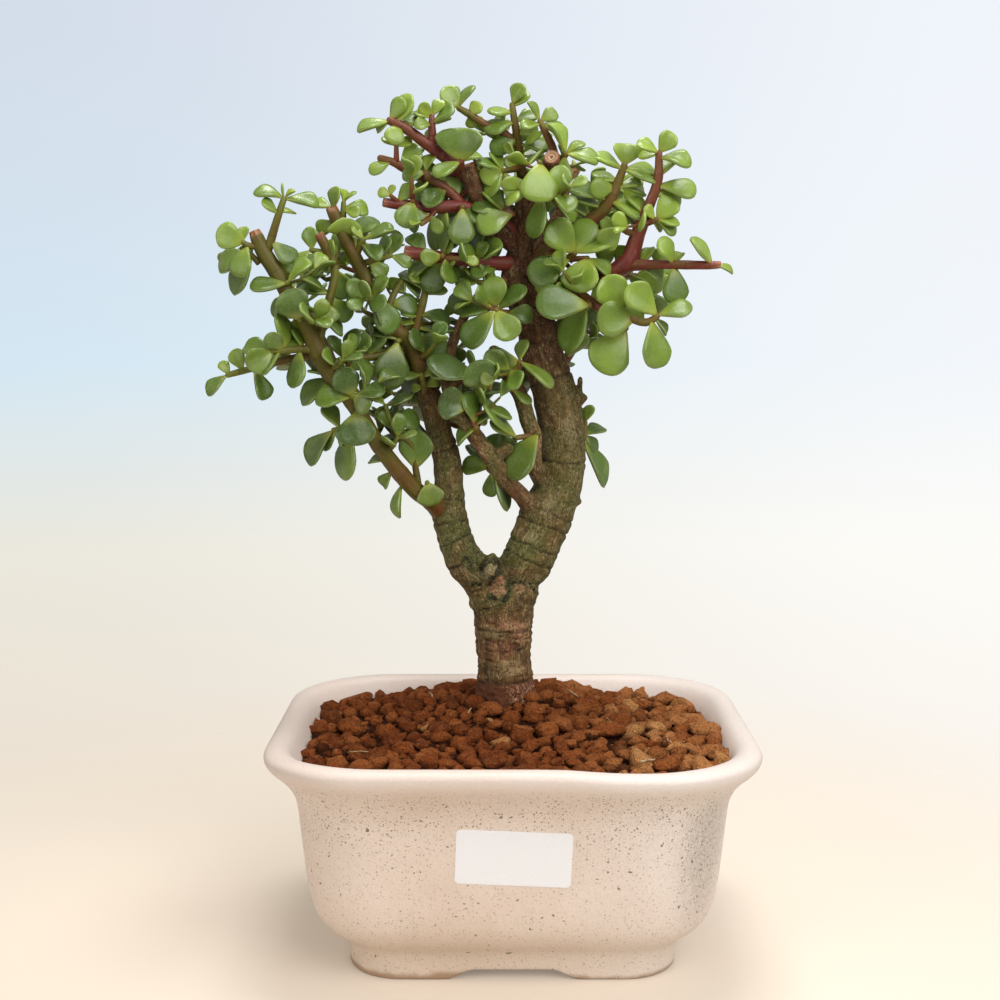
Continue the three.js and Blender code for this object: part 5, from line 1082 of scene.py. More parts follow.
def glaze_finish():
    """Cream glaze with brown specks, fewer on the lip and low down, one grey patch with more specks at the right front
    corner that is partly painted shade at that edge, and painted light that makes the right side paler
    """
    bench = Finish("speckled_glaze")
    across, _, height = bench.split(bench.place)
    wash = bench.mottle(28)
    fine = bench.mottle(900)
    large = bench.specks(270, 0.17, 0.34)
    on_wall = bench.range(height, 0.0795, 0.0735, 0.06, 1)
    away = bench.vector("SUBTRACT", bench.place, tuple(TO_FRAME @ Vector(GREY_PATCH_SPOT)))
    away = bench.length(bench.vector("MULTIPLY", away, (1.0, 1.0, 0.42)))
    # A grey patch with more specks at the right front corner, partly the glaze's own and partly painted shade at that
    # edge
    grey_patch_and_shade = bench.times(bench.range(away, 0.0175, 0.002), bench.range(fine, 0, 1, 0.55, 1))
    many = bench.plus(bench.range(height, 0.04, 0.07, 0.45, 1.0), bench.times(grey_patch_and_shade, 0.8))
    foot = bench.range(bench.plus(height, bench.range(wash, 0, 1, -0.0012, 0.0012)), 0.0032, 0.0008)
    glaze = bench.layers(
        bench.ramp(wash, (0.0, "e0ccbc"), (1.0, "e9d8cb")),
        (bench.range(height, 0.035, 0.005, 0, 0.5), "d9c8b2"),
        (bench.range(height, 0.074, 0.08, 0, 0.6), "e6d6cc"),
        # Painted light: paler to the right, where the light falls
        (bench.range(across, 0.0, 0.075, 0, 0.5), "efe6df"),
        (bench.times(fine, 0.12), "c6b2a2"),
        (bench.times(grey_patch_and_shade, 0.6), "988b7e"),
        (bench.times(bench.specks(1500, 0.42, 0.75), on_wall, many, 0.5), "8d7d70"),
        (bench.times(bench.specks(820, 0.32, 0.55), on_wall, many), "776759"),
        (bench.times(large, on_wall, 0.85), "574a40"),
        (bench.times(foot, 0.75), "9c7855"),
    )
    return bench.done(
        Base_Color=glaze, Roughness=bench.range(foot, 0, 1, 0.46, 0.85), Coat_Weight=0.06, Coat_Roughness=0.3,
        Normal=bench.bump(bench.plus(fine, bench.times(large, -0.8)), 0.00006),
    )


def granule_finish(name, deeper):
    """Fired clay granules, darker on their undersides as painted shade. The layer under them is the same clay painted
    dark, as painted shade in the gaps between granules.
    """
    bench = Finish(name)
    lumps = bench.mottle(330)
    crumbs = bench.mottle(900)
    pores = bench.specks(800, 0.34, 0.4)
    if deeper:
        # Painted shade: the clay under the granules is dark like the shade in the gaps
        clay = bench.ramp(crumbs, (0.0, "2a1409"), (1.0, "5c2e14"))
    else:
        tone, tan, low, damp = bench.paint()
        clay = bench.layers(
            bench.ramp(tone, (0.0, "64290d"), (0.45, "9c4d1f"), (0.8, "c4733b"), (1.0, "d99157")),
            (tan, "f0ae6c"),
            (bench.times(lumps, 0.35), "c67e45"),
            (bench.range(crumbs, 0.45, 0, 0, 0.5), "4a210b"),
            # Painted shade: darker toward each granule's underside
            (bench.times(low, 0.88), "240d05"),
            (damp, "3f1c0b"),
        )
    clay = bench.layers(clay, (bench.times(pores, 0.3), "2b1308"))
    height = bench.plus(lumps, bench.calculate("SUBTRACT", bench.times(crumbs, 0.7), bench.times(pores, 0.5)))
    return bench.done(
        Base_Color=clay, Roughness=bench.range(crumbs, 0, 1, 0.95, 0.75), Normal=bench.bump(height, 0.0016),
        Specular_IOR_Level=0.15,
    )


def plain_finish(name, scale, low, codes, roughness, depth):
    """A finish with one soft pattern in its colour, gloss and relief"""
    bench = Finish(name)
    pattern = bench.mottle(scale, low)
    return bench.done(
        Base_Color=bench.ramp(pattern, (0.0, codes[0]), (1.0, codes[1])),
        Roughness=bench.range(pattern, 0, 1, *roughness), Normal=bench.bump(pattern, depth),
    )


# Middle of the grey patch on the glaze, which is partly painted shade
GREY_PATCH_SPOT = (66.5, -53, 50)
LEAF = leaf_finish()
STEM = stem_finish()
BARK = bark_finish()
GLAZE = glaze_finish()
CLAY = granule_finish("clay_granules", False)
SHADED_DEEP_CLAY = granule_finish("shaded_deep_clay", True)
PAPER = plain_finish("label_paper", 1500, 0.3, ("eeeef1", "f2f2f5"), (0.38, 0.3), 0.00001)
SCREEN = plain_finish("drain_screen", 500, 0.4, ("15181a", "2b2f31"), (0.4, 0.6), 0.00005)
ROOTLET = plain_finish("dry_rootlet", 400, 0.3, ("8f7350", "c4ab82"), (0.8, 0.65), 0.0001)

# The wood: trunk, two limbs and their stubs, fused into one skin

# How far apart the knots of a wooden tube are, and the size of the grid that fuses the tubes
WOOD_STEP = 1.5
WOOD_VOXEL = 0.62
CUT_ENDS = ("cut_stub", "facing_stub", "back_branch")
REDNESS = {
    "middle_bough": 0.75, "cross_bough": 0.8, "cross_stub": 0.8, "cut_stub": 1, "facing_stub": 0.9,
    "back_branch": 0.9, "side_stub": 0.4,
}
# How red low down and high up, and the two heights between which that changes
LIMB_REDNESS = {
    "trunk": (0.4, 0.25, 112, 128), "left_limb": (0.15, 0.75, 165, 195), "right_limb": (0.1, 0.95, 198, 228),
}
SHADE = {"cut_stub": 0.45, "facing_stub": 0.15, "middle_bough": 0.1}
PALE = {"back_branch": 0.8, "cross_bough": 0.12, "middle_bough": 0.15}
# What the bark carries, as it shows from the front: middle, reach across and up, then how much more red, moss,
# dark and pale. The dark under the bulge on the trunk's right is a crack with painted shadow in it
BARK_PATCHES = [
    (-7.9, 117.4, 3.6, 3.2, 0.8, 0, 0, 0.15), (0.7, 114.9, 6.5, 3, 0.4, 0, 0, 0.55),
    (4, 109.8, 4, 2.4, 0.5, 0, 0, 0.7), (-7.9, 111.6, 6, 2.6, 0, 0.65, 0, 0.35),
    (-5.2, 105.3, 7.5, 3.4, 0.8, 0, 0.1, 0.15),
    (1.8, 107, 1.8, 3, 0.2, 0, 0.6, 0), (-10, 95.2, 3.2, 4.2, 0, 0, 0.7, 0), (0.2, 97.8, 6, 3.4, 0, 0.3, 0, 0.6),
    (6.5, 100, 3, 5, 0.2, 0, 0.25, 0), (-5.2, 129.8, 3.2, 4.4, 0.7, 0, 0, 0.9),
    (-8.2, 137.8, 2.6, 2.3, -0.3, -0.6, 0, 1.0), (-11, 134.6, 2.4, 2, -0.2, 0.3, 0, 0.7),
    # The last patch on this line is a dark crack under the bulge, with painted shadow in it
    (0.8, 135.8, 3.4, 1.6, 0.8, 0, 0, 0.25), (5.5, 128.9, 6, 2, 0.4, 0, 0, 0.35), (6, 124.4, 5.5, 1.4, 0, 0, 0.7, 0),
    (17.3, 175.5, 5, 6, -0.2, 0.8, 0, 0), (11.4, 188.5, 3, 7, 0, 0, 0, 0.5), (22, 192, 4, 8, 0, 0, 0, 0.4),
    (2, 143.7, 6, 5, -0.2, 0.8, 0, 0), (7.9, 149.6, 4, 3, 0, 0, 0, 0.35), (-20.2, 154, 5, 4, 0, 0.8, 0, 0),
    (-26, 149.6, 4, 5, 0, 0.7, 0, 0), (-21.4, 137.8, 4.5, 4, 0.6, 0, 0, 0.15), (6.7, 166, 4, 3, 0.2, 0, 0.25, 0.2),
    (15, 163, 4, 5, 0.1, 0, 0, 0.3), (-23, 172, 3, 6, 0.3, 0, 0, 0.2),
]
# Heights of the cracks round the limbs
CRACKS = {
    "trunk": (93.5, 114.3),
    "left_limb": (141, 149.5, 156.5, 165.5, 185),
    "right_limb": (141.7, 146.8, 155, 159.8, 180, 212, 226, 238, 250),
}
BURIED_STARTS = {"cross_bough": [12, 156, 31, 5.2], "middle_bough": [16, 166, 31, 4.6]}
TRUNK_END = [-5, 130.5, 24, 10.5]
# Lines of dark crust in the fork, as they show from the front
FORK_SEAMS = [
    [(-18.2, 141.5), (-15.4, 138.1), (-11, 138.1), (-8.7, 140.4), (-5.4, 139.5)],
    [(-15.4, 131.9), (-10.4, 130.8), (-7.1, 133.6), (-4.8, 135.9), (-5.4, 139.3)],
    [(-8.2, 126.3), (-4.8, 124.3), (-1.8, 126.3), (-1.2, 130.2), (-0.1, 133.6), (4.1, 132.2), (9.7, 128)],
]


def wood_lines():
    """The knots of every wooden tube. Side boughs start deeper in their limb, and the trunk ends under the fork."""
    found = {}
    for name, rows in WOOD.items():
        if name in BURIED_STARTS:
            rows = [BURIED_STARTS[name]] + rows[1:]
        if name == "trunk":
            rows = rows[:-2] + [TRUNK_END]
        found[name] = smooth_line(rows, WOOD_STEP)
    return found


def seam_distance(x, z):
    """How far a place on the fork, seen from the front, lies from the nearest seam"""
    gaps = []
    for seam in FORK_SEAMS:
        for low, high in zip(seam, seam[1:]):
            t = share_along(low, high, x, z)
            gaps.append(math.hypot(low[0] + t * (high[0] - low[0]) - x, low[1] + t * (high[1] - low[1]) - z))
    return min(gaps)


def patches_at(x, z):
    """How much more red, moss, dark and pale the patches give at a place on the bark"""
    sums = [0.0, 0.0, 0.0, 0.0]
    for middle_x, middle_z, wide, tall, *shares in BARK_PATCHES:
        share = math.exp(-(((x - middle_x) / wide) ** 2 + ((z - middle_z) / tall) ** 2) ** 1.5)
        if share > 0.02:
            sums = [total + share * more for total, more in zip(sums, shares)]
    return sums


def fused_tubes(lines):
    """All tubes remeshed into one closed skin and smoothed where they meet"""
    bm = painted_mesh()
    for name, knots in lines.items():
        end = "cut" if name in CUT_ENDS else "round"
        add_tube(bm, [Vector(knot[:3]) for knot in knots], [knot[3] for knot in knots], 32, end=end)
    holder = in_scene("rough_wood", to_mesh(bm, "rough_wood"))
    rough = holder.data
    remesh = holder.modifiers.new("one skin", "REMESH")
    remesh.mode = "VOXEL"
    remesh.voxel_size = WOOD_VOXEL
    skin = bpy.data.meshes.new_from_object(holder.evaluated_get(bpy.context.evaluated_depsgraph_get()))
    bpy.data.objects.remove(holder)
    bm = painted_mesh()
    bm.from_mesh(skin)
    for mesh in (rough, skin):
        bpy.data.meshes.remove(mesh)
    for _ in range(4):
        bmesh.ops.smooth_vert(bm, verts=bm.verts, factor=0.5, use_axis_x=True, use_axis_y=True, use_axis_z=True)
    bm.normal_update()
    return bm


def wood_rings(lines):
    """Each ring's tube, place along it, height seen from the front, whether it is the last, the way back from its
    frame, and how steeply its frame rises"""
    rings = []
    for name, knots in lines.items():
        points = [Vector(knot[:3]) for knot in knots]
        for knot, along, place in zip(knots, lengths_along(points), ring_frames(points)):
            rings.append((name, along, knot[4], knot is knots[-1], place.inverted(), place.col[2][2]))
    return rings


def nearest_rings(bm, lines):
    """For each point of the skin, the number of the ring that it lies nearest to"""
    knots = [knot for line in lines.values() for knot in line]
    centres = np.array([knot[:3] for knot in knots])
    radii = np.array([knot[3] for knot in knots])
    spots = np.array([vert.co for vert in bm.verts])
    batches = np.array_split(spots, len(spots) // 4000 + 1)
    return np.concatenate([
        (np.linalg.norm(batch[:, None, :] - centres[None], axis=2) - radii[None]).argmin(axis=1) for batch in batches
    ])


def ripple(place, scale, shift=(0, 0, 0)):
    """Soft noise between about -1 and 1"""
    return noise.noise(place * scale + Vector(shift))


def dress_bark(vert, ring, grain, paint):
    """Moves one point of the skin in or out, and paints it red, mossy, dark and pale. Its dark is cracks, dark patches
    and painted shade.
    """
    name, along, seen, last, back, rise = ring
    place = vert.co.copy()
    local = back @ place
    along += local.z
    seen += local.z * rise
    vert[grain] = (local.x, local.y, along)
    lumps = ripple(place, 0.24)
    push = 0.3 * lumps
    push += 0.16 * noise.fractal(Vector((local.x * 0.6, local.y * 0.6, along * 0.14)), 0.9, 2.1, 3)
    front_x, front_z = from_front(place)
    wander = 2.2 * ripple(place, 0.35, (0, 0, 11))
    more_red, more_moss, more_dark, more_pale = patches_at(front_x + wander, front_z + wander)

    crack_and_shade = 0.0
    for level in CRACKS.get(name, ()):
        gap = seen - level - 1.1 * noise.noise(Vector((local.x * 0.16, local.y * 0.16, level)))
        if abs(gap) < 5:
            crack_and_shade = max(crack_and_shade, bell(gap, 0.36))
            push += 0.24 * bell(abs(gap) - 1.4, 1.1)
    crack_and_shade *= clamp(0.85 + 0.9 * noise.noise(Vector((local.x * 0.3, local.y * 0.3, along * 0.3 + 7))))

    red = REDNESS.get(name, 0.3)
    if name in LIMB_REDNESS:
        low, high, bottom, top = LIMB_REDNESS[name]
        red = low + (high - low) * ease(seen, bottom, top)
    fork = 0.7 * ease(seen, 128, 142) * (1 - ease(seen, 190, 225))
    if name == "trunk":
        wrinkle = noise.fractal(Vector((local.x * 0.13, local.y * 0.13, along * 0.75 + 3)), 0.8, 2.1, 3)
        push += 0.45 * wrinkle * (1 - ease(seen, 118, 128))
        crack_and_shade = max(crack_and_shade, 0.8 * ease(-wrinkle, 0.42, 0.7))
        fork = 0.75 * ease(-local.x + 2 * lumps, 4.5, 9) + 0.3 * ease(seen, 112, 124)
        push += 0.9 * bell(seen - 126, 4) * ease(place.x, 1, 8)
        push += (0.3 + 0.9 * ripple(place, 0.7)) * (1 - ease(seen, 90, 93.2))
    moss = clamp(fork * (0.75 + 0.9 * ripple(place, 0.11, (5, 0, 0))) + more_moss, 0, 0.68)
    if 118 < seen < 150:
        seam = seam_distance(front_x, front_z) + 1.5 * ripple(place, 0.7)
        tuft = bell(max(seam - 0.3, 0), 1.6) * clamp(0.95 + 1.5 * ripple(place, 0.45, (0, 9, 0)))
        moss += (1 - moss) * tuft
        push += tuft * (0.4 + 1.6 * ripple(place, 1.3))
        crack_and_shade *= 1 - tuft

    shade = SHADE.get(name, 0.0) + more_dark
    if name == "left_limb":
        shade += 0.14 * (1 - ease(seen, 158, 175))
    # Painted shade high on the right limb, under the crown
    if name == "right_limb":
        shade += 0.15 * ease(seen, 180, 200) + 0.25 * ease(seen, 205, 235)
    # The shade goes into the same dark paint as the cracks
    crack_and_shade = max(crack_and_shade, clamp(shade * (0.8 + 0.6 * ripple(place, 0.5))))
    pale = clamp(PALE.get(name, 0.0) + more_pale, 0, 0.8)
    if name == "trunk":
        pale = max(pale, 0.8 * (1 - ease(seen, 92, 94)) * ease(front_x + wander, -5, 1))
    push += 0.5 * more_pale - 0.5 * crack_and_shade
    cut = name in CUT_ENDS and last and local.z > -0.25
    vert[paint] = (clamp(red + more_red), moss, clamp(crack_and_shade), 1.0 if cut else pale)
    vert.co += vert.normal * (push * (0.3 if cut else 1))


def build_wood():
    """The wood as one skin, with its bark's relief and colours"""
    lines = wood_lines()
    bm = fused_tubes(lines)
    rings = wood_rings(lines)
    grain = bm.verts.layers.float_vector["grain"]
    paint = bm.verts.layers.float_color["paint"]
    for vert, nearest in zip(bm.verts, nearest_rings(bm, lines)):
        dress_bark(vert, rings[nearest], grain, paint)
    piece = new_piece("wood_skin", bm, [BARK], fix_normals=False)
    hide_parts("wood")


# Leafy stems

MORE_LEAVES = {
    "cut_side_branch": [
        [-13, 257, -21.5, 260, 6.5, -6], [-12.5, 256.5, -2.5, 262, 6, -6], [-27, 257, -23.4, 264.8, 4.5, -5],
        [-8, 256.5, -14.5, 250, 6, -5],
    ],
    "left_top_branch": [[-19, 278, -12, 271, 6, -5]],
}
STEM_REDNESS = {
    "left_bough": 0.15, "upper_left_stem": 0.2, "cut_side_branch": 0.7, "top_left_stem": 0.9, "left_top_branch": 0.75,
    "right_stem": 0.9, "right_top_stem": 0.5, "leader_stem": 0.45,
}
SIDE_REDNESS = {"left_bough": 0.2, "right_stem": 0.6}
BOUGH_START = [-24, 156, 26, 5]
# The numbers of the stems that end in a saw cut
SAWN_STEMS = {
    "left_bough": (0, 9), "upper_left_stem": (0,), "cut_side_branch": (0,), "left_top_branch": (0,),
    "right_stem": (1,),
}
# Rings set round an old leaf joint: how far past it, and how dark
JOINT_RINGS = ((-1.1, 0.0), (-0.4, 0.0), (0.0, 1.0), (0.4, 0.0), (1.1, 0.0))
# The farthest that a stem's rings stand apart, and about how far apart the knots of its smooth line are
RING_GAP = 2.2
STEM_STEP = 1.0
# Side twigs: how many headings are tried, the fewest leaves that one is kept with, and where they stop on the right
TWIG_TRIES = 6
TWIG_LEAVES = 3
RIGHTMOST_TWIG = 57


def buried(knots):
    """Knots of a stem that starts at the skin of a limb, with one more knot deep in the limb before them"""
    start = Vector(knots[0][:3])
    depth, middle = math.inf, None
    for low, line, radius in WOOD_CAPSULES:
        on_axis = low + line * share_to(low, line, start)
        gap = (start - on_axis).length
        if gap < min(radius, depth):
            depth, middle = gap, on_axis
    if middle is None or depth < 0.4:
        return knots
    return [Vector((*middle, 0.8 * knots[0][3], knots[0][4]))] + knots


def stations(total, spacing, draw):
    """Old leaf joints along a stem, and where its rings go: even ones, and a tight set at each joint"""
    joints = []
    joint = draw(3, 7)
    while joint < total - 1.5:
        joints.append(joint)
        joint += draw(0.75, 1.25) * spacing
    places = {0.0: 0.0, total: 0.0}
    for joint in joints:
        for past, dark in JOINT_RINGS:
            if 0 < joint + past < total:
                places[joint + past] = dark
    fixed = sorted(places)
    for low, high in zip(fixed, fixed[1:]):
        count = math.floor((high - low) / RING_GAP)
        for k in range(count):
            places[low + (high - low) * (k + 1) / (count + 1)] = 0.0
    return joints, sorted(places.items())


def add_stem(bm, knots, red, draw, sawn=False):
    """One stem with its old leaf joints: a slight swelling, with a dark line round it"""
    points = [Vector(knot[:3]) for knot in knots]
    start_radius = knots[0][3]
    lengths = lengths_along(points)
    total = lengths[-1]
    joints, places = stations(total, 6 + 3 * start_radius, draw)
    spots, radii, paints = [], [], []
    for reach, dark in places:
        part = part_at(lengths, reach)
        t = clamp((reach - lengths[part - 1]) / max(1e-6, lengths[part] - lengths[part - 1]))
        radius = knots[part - 1][3] + t * (knots[part][3] - knots[part - 1][3])
        swelling = sum(bell(reach - joint, 1.3) for joint in joints)
        young = 0 if sawn else (0.85 * ease(reach, 0.4 * total, total) + 0.15) * (1 - 0.9 * red)
        end = ease(reach, total - 2.4, total - 0.8) if sawn else 0
        old = 0.22 * (1 - ease(reach, 12, 55)) if start_radius > 3.2 else 0
        spots.append(points[part - 1].lerp(points[part], t))
        radii.append(radius * (1 + 0.07 * swelling - 0.06 * end) - 0.09 * dark)
        paints.append((clamp(red + old + draw(-0.05, 0.05) + 0.3 * end), clamp(young), dark, 0.8 * end))
    sides = 16 if radii[0] > 2.4 else 12 if radii[0] > 1.5 else 8
    add_tube(bm, spots, radii, sides, paints, "cut" if sawn else "round")


def inside_crown(point, outline):
    """True where a point shows inside the crown that was measured from the front"""
    x, z = from_front(point)
    return any(math.hypot(x - middle_x, z - middle_z) < reach for middle_x, middle_z, reach in outline)


def side_twigs(points, radii, draw, everything, outline):
    """Short leafy twigs that grow from a stem, out to the sides and away from the front: line, thickness, leaves"""
    grown = []
    reach = draw(3, 6)
    lengths = lengths_along(points)
    while reach < 0.88 * lengths[-1]:
        part, axis, root = place_along(points, lengths, reach)
        for _ in range(TWIG_TRIES if root.x < RIGHTMOST_TWIG else 0):
            heading = Vector((draw(-1, 1), draw(-0.45, 1), draw(-0.45, 0.9)))
            heading -= axis * heading.dot(axis) * 0.6
            heading.normalize()
            size = draw(7.5, 14)
            bend = Vector((0, 0, draw(0.05, 0.3)))
            line = [root, root + heading * size * 0.5, root + (heading + bend).normalized() * size]
            if any(touches_wood(point) for point in line[1:]) or not inside_crown(line[-1], outline):
                continue
            leaves = twig_leaves(line, draw, everything, outline)
            if len(leaves) >= TWIG_LEAVES:
                everything += leaves
                grown.append((line, min(1.15, 0.6 * radii[part]), leaves))
                break
        reach += draw(5, 9) * (1 + 0.6 * ease(root.x, 5, 40) + 0.5 * ease(-root.x, 45, 75))
    return grown


def twig_leaves(line, draw, everything, outline):
    """Two crossed pairs of leaves on a short twig, the second at its tip"""
    leaves = []
    axis = (line[-1] - line[-2]).normalized()
    phase = draw(0, 6.28)
    for pair, share in enumerate((0.45, 1.0)):
        root = line[0].lerp(line[-1], share)
        lift = Vector((0, -0.45 if root.y < TRUNK_DEPTH else 0.3, 0.5))
        for side in range(2):
            size = draw(8.5, 12.5) * (0.8 if pair else 1)
            lean = math.radians(draw(25, 50) if pair else draw(48, 68))
            turn = phase + math.pi / 2 * pair + math.pi * side + draw(-0.3, 0.3)
            leaf = leaning_leaf(root, axis, lean, turn, size, size * draw(0.6, 0.82), lift)
            if inside_crown(leaf["tip"], outline) and is_clear(leaf, everything + leaves):
                leaves.append(leaf)
    return leaves


def crown_outline(leaves):
    """Discs that the leaves fill from the front, as x, z and radius, larger in the thick of the crown"""
    outline = []
    for leaf in leaves:
        x, z = from_front(leaf["root"].lerp(leaf["tip"], 0.6))
        inner = math.exp(-(((x + 26) / 26) ** 2) - ((z - 228) / 30) ** 2)
        outline.append((x, z, (0.44 + 0.2 * inner) * leaf["length"]))
    return outline


def build_shoots():
    """Every leafy stem with its leaves, in front as measured and behind by rule, then the twigs that fill the crown"""
    everything = []
    shoots = {}
    for name, parts in LEAFY_STEMS.items():
        leaves = [measured_leaf(parts["stems"], row) for row in parts["leaves"] + MORE_LEAVES.get(name, [])]
        everything += leaves
        shoots[name] = (parts["stems"], leaves)
    rule = Draw(7)
    for name, rows in BACK_STEMS.items():
        shoots[name] = ([rows], paired_leaves([sight(*row[:3]) for row in rows], rule, everything))
    outline = crown_outline(everything)
    blanks = leaf_blanks()
    grow = Draw(31)
    draw = Draw(11)
    for name, (stems, leaves) in shoots.items():
        twigs = []
        for rows in stems:
            points = [sight(*row[:3]) for row in rows]
            twigs += side_twigs(points, [row[3] for row in rows], grow, everything, outline)
        bm = painted_mesh()
        red = STEM_REDNESS.get(name, 0.55)
        for i, rows in enumerate(stems):
            if name == "left_bough" and i == 0:
                rows = [BOUGH_START] + rows[1:]
            stem_red = SIDE_REDNESS.get(name, red) if i > 0 else red
            add_stem(bm, buried(smooth_line(rows, STEM_STEP)), stem_red, draw, i in SAWN_STEMS.get(name, ()))
        for line, thick, _ in twigs:
            knots = [Vector((*point, thick * share, 0)) for point, share in zip(line, (1, 0.95, 0.75))]
            add_stem(bm, knots, red * 0.8, draw)
        stem_faces = len(bm.faces)
        for leaf in leaves + [leaf for twig in twigs for leaf in twig[2]]:
            add_leaf(bm, blanks, leaf, draw)
        for i, face in enumerate(bm.faces):
            face.material_index = 1 if i < stem_faces else 0
        piece = new_piece("leafy_" + name, bm, [LEAF, STEM])
        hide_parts(name)
    for blank in blanks.values():
        bpy.data.meshes.remove(blank)


# The pot

# Half width, height and corner radius, from the drain hole out, up, over the lip and down inside
POT_ROWS = [
    (48, 5, 13), (50.8, 0.9, 13.7), (53, 0, 14.6), (56, 0, 17), (59.2, 0, 19.5), (59.9, 0.5, 19.8), (60.1, 2.2, 20),
    (60.4, 8, 20), (61, 10.3, 20.4), (62.4, 12.2, 21.2), (66, 14.5, 24), (69.5, 18, 26), (71.6, 21.2, 27.7),
    (73, 25, 29), (74.2, 30, 30), (75.2, 36, 31), (75.7, 41, 31.4), (77.2, 56, 32.5), (77.8, 62, 32.9),
    (78.4, 64.5, 33.3), (79.3, 67, 33.8), (80.5, 69.4, 34.5), (82.1, 71.7, 35.4), (84, 73.9, 36.4), (86.2, 76, 37.5),
    (88, 78, 38.5), (89, 80.2, 39), (88.8, 82.1, 38.9), (87.4, 83.4, 38.2), (85.1, 84, 37.2), (82.8, 83.7, 36.1),
    (80.9, 82.6, 35), (79.5, 80.6, 34), (78.3, 78, 33), (77, 75.6, 31.5), (75.2, 72.5, 30), (74, 70, 29),
    (72.5, 60, 28), (68, 30, 24), (61, 14, 19), (57, 8, 16),
]
# Where the columns stand on the straight part of a side, as shares of half of it
STRAIGHT_X = (0, 0.18, 0.36, 0.3875, 0.5625, 0.59, 0.78)
STRAIGHT_Y = (0, 0.28, 0.57, 0.596, 0.865, 0.89)
CORNER_STEPS = 12
# The sticker's thickness, the radius of its corners, its rounded rim, and how far its middle stands off the wall
LABEL_THICKNESS = 0.34
LABEL_CORNER = 1.6
LABEL_RIM = 0.08
LABEL_PROUD = 0.05


def pot_columns():
    """The columns round the pot, each a share of a straight side or an angle of a corner"""
    columns = []
    for side in range(4):
        shares = STRAIGHT_X if side % 2 == 0 else STRAIGHT_Y
        columns += [(side, share, None) for share in sorted({-s for s in shares} | set(shares))]
        columns += [(side, 1, step / CORNER_STEPS) for step in range(CORNER_STEPS + 1)]
    return columns


def pot_point(column, half, z, corner):
    """Where a column meets a row. The foot is notched between its corners, and the lip is a little wavy in front."""
    side, share, turn = column
    long, deep = (half, half - WIDTH_LESS_DEPTH) if side % 2 == 0 else (half - WIDTH_LESS_DEPTH, half)
    if turn is None:
        x, y = share * (long - corner), -deep
    else:
        angle = math.radians(-90 + 90 * turn)
        x, y = long - corner + corner * math.cos(angle), -(deep - corner) + corner * math.sin(angle)
    gap = NOTCH_HEIGHT * clamp((NOTCH_BOTTOM_HALF - abs(x)) / 7) * max(0.0, 1 - z / 6)
    point = Matrix.Rotation(math.radians(90 * side), 4, "Z") @ Vector((x, y, z + gap))
    if z > 66:
        wave = 1.0 * (1 - ease(point.x, 12, 36)) - 0.5 * bell(point.x - 42, 14)
        point.z += wave * ease(-point.y, 50, 68) * ease(z, 66, 84)
    return point


def drain_point(column, z):
    """Where a column meets the rim of the drain hole, at its lower or its upper end"""
    direction = pot_point(column, 48, 6, 13)
    direction.z = 0
    return direction.normalized() * DRAIN_RADIUS + Vector((0, 0, z))


def build_pot():
    """One closed skin, extruded ring by ring from the drain hole and back to it"""
    columns = pot_columns()
    bm = bmesh.new()
    ring = bmesh.ops.create_circle(bm, segments=len(columns), radius=DRAIN_RADIUS)["verts"]
    for vert, column in zip(ring, columns):
        vert.co = drain_point(column, FLOOR_UNDER)
    column_of = {tuple(vert.co): column for vert, column in zip(ring, columns)}
    edges = first = bm.edges[:]
    for row in POT_ROWS + [None]:
        verts, edges = next_ring(bm, edges)
        ring_columns = [column_of[tuple(vert.co)] for vert in verts]
        for vert, column in zip(verts, ring_columns):
            vert.co = pot_point(column, *row) if row else drain_point(column, FLOOR_TOP)
        column_of = {tuple(vert.co): column for vert, column in zip(verts, ring_columns)}
    bmesh.ops.bridge_loops(bm, edges=first + edges)
    piece = new_piece("glazed_pot", bm, [GLAZE], levels=1)
    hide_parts("pot")


def build_label():
    """The blank sticker, flat on the sloping front wall"""
    bm = bmesh.new()
    bmesh.ops.create_cube(bm, size=1, matrix=Matrix.Diagonal((*LABEL_SIZE, LABEL_THICKNESS, 1)))
    upright = [edge for edge in bm.edges if abs(edge.verts[0].co.z - edge.verts[1].co.z) > 0.1]
    bevel = {"affect": "EDGES", "profile": 0.5, "material": -1}
    bmesh.ops.bevel(bm, geom=upright, offset=LABEL_CORNER, segments=6, **bevel)
    rims = [edge for edge in bm.edges if edge.is_manifold and edge.calc_face_angle(0) > 1]
    bmesh.ops.bevel(bm, geom=rims, offset=LABEL_RIM, segments=2, **bevel)
    slope = math.atan2(WALL_HIGH[0] - WALL_LOW[0], WALL_HIGH[1] - WALL_LOW[1])
    x, z = LABEL_CENTRE
    wall = WALL_LOW[0] + (z - WALL_LOW[1]) * math.tan(slope) - WIDTH_LESS_DEPTH
    place = Matrix.Translation((x, -wall - LABEL_PROUD, z)) @ Matrix.Rotation(math.radians(90) + slope, 4, "X")
    bmesh.ops.transform(bm, matrix=place @ Matrix.Rotation(LABEL_TILT, 4, "Z"), verts=bm.verts)
    piece = new_piece("blank_label", bm, [PAPER], smooth=False)
    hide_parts("label")


# Granules on the soil

TRUNK_FOOT = sight(-2.5, 70, TRUNK_DEPTH)
# The pot's inner wall at the soil: half its width, and its corner radius
INNER_HALF = 76.2
INNER_CORNER = 31
# How many places are tried, the smallest and largest radius, how close two may lie, and how far they stand up
GRANULE_PASSES = (
    (5200, 2.7, 4.9, 0.86, 0.45),
    (5200, 1.9, 3.1, 0.78, 0.15),
    (5600, 1.2, 2.1, 0.7, -0.15),
    (4000, 0.9, 1.5, 0.76, -0.8),
)
# The side of the cells in which near granules are looked up
GRANULE_CELL = 8
# The damp streak on the soil: a place on its middle line, the line's direction, and how far it reaches to each side
DAMP_START = (50, 18)
DAMP_RUN = (11, 53)
DAMP_REACH = 6


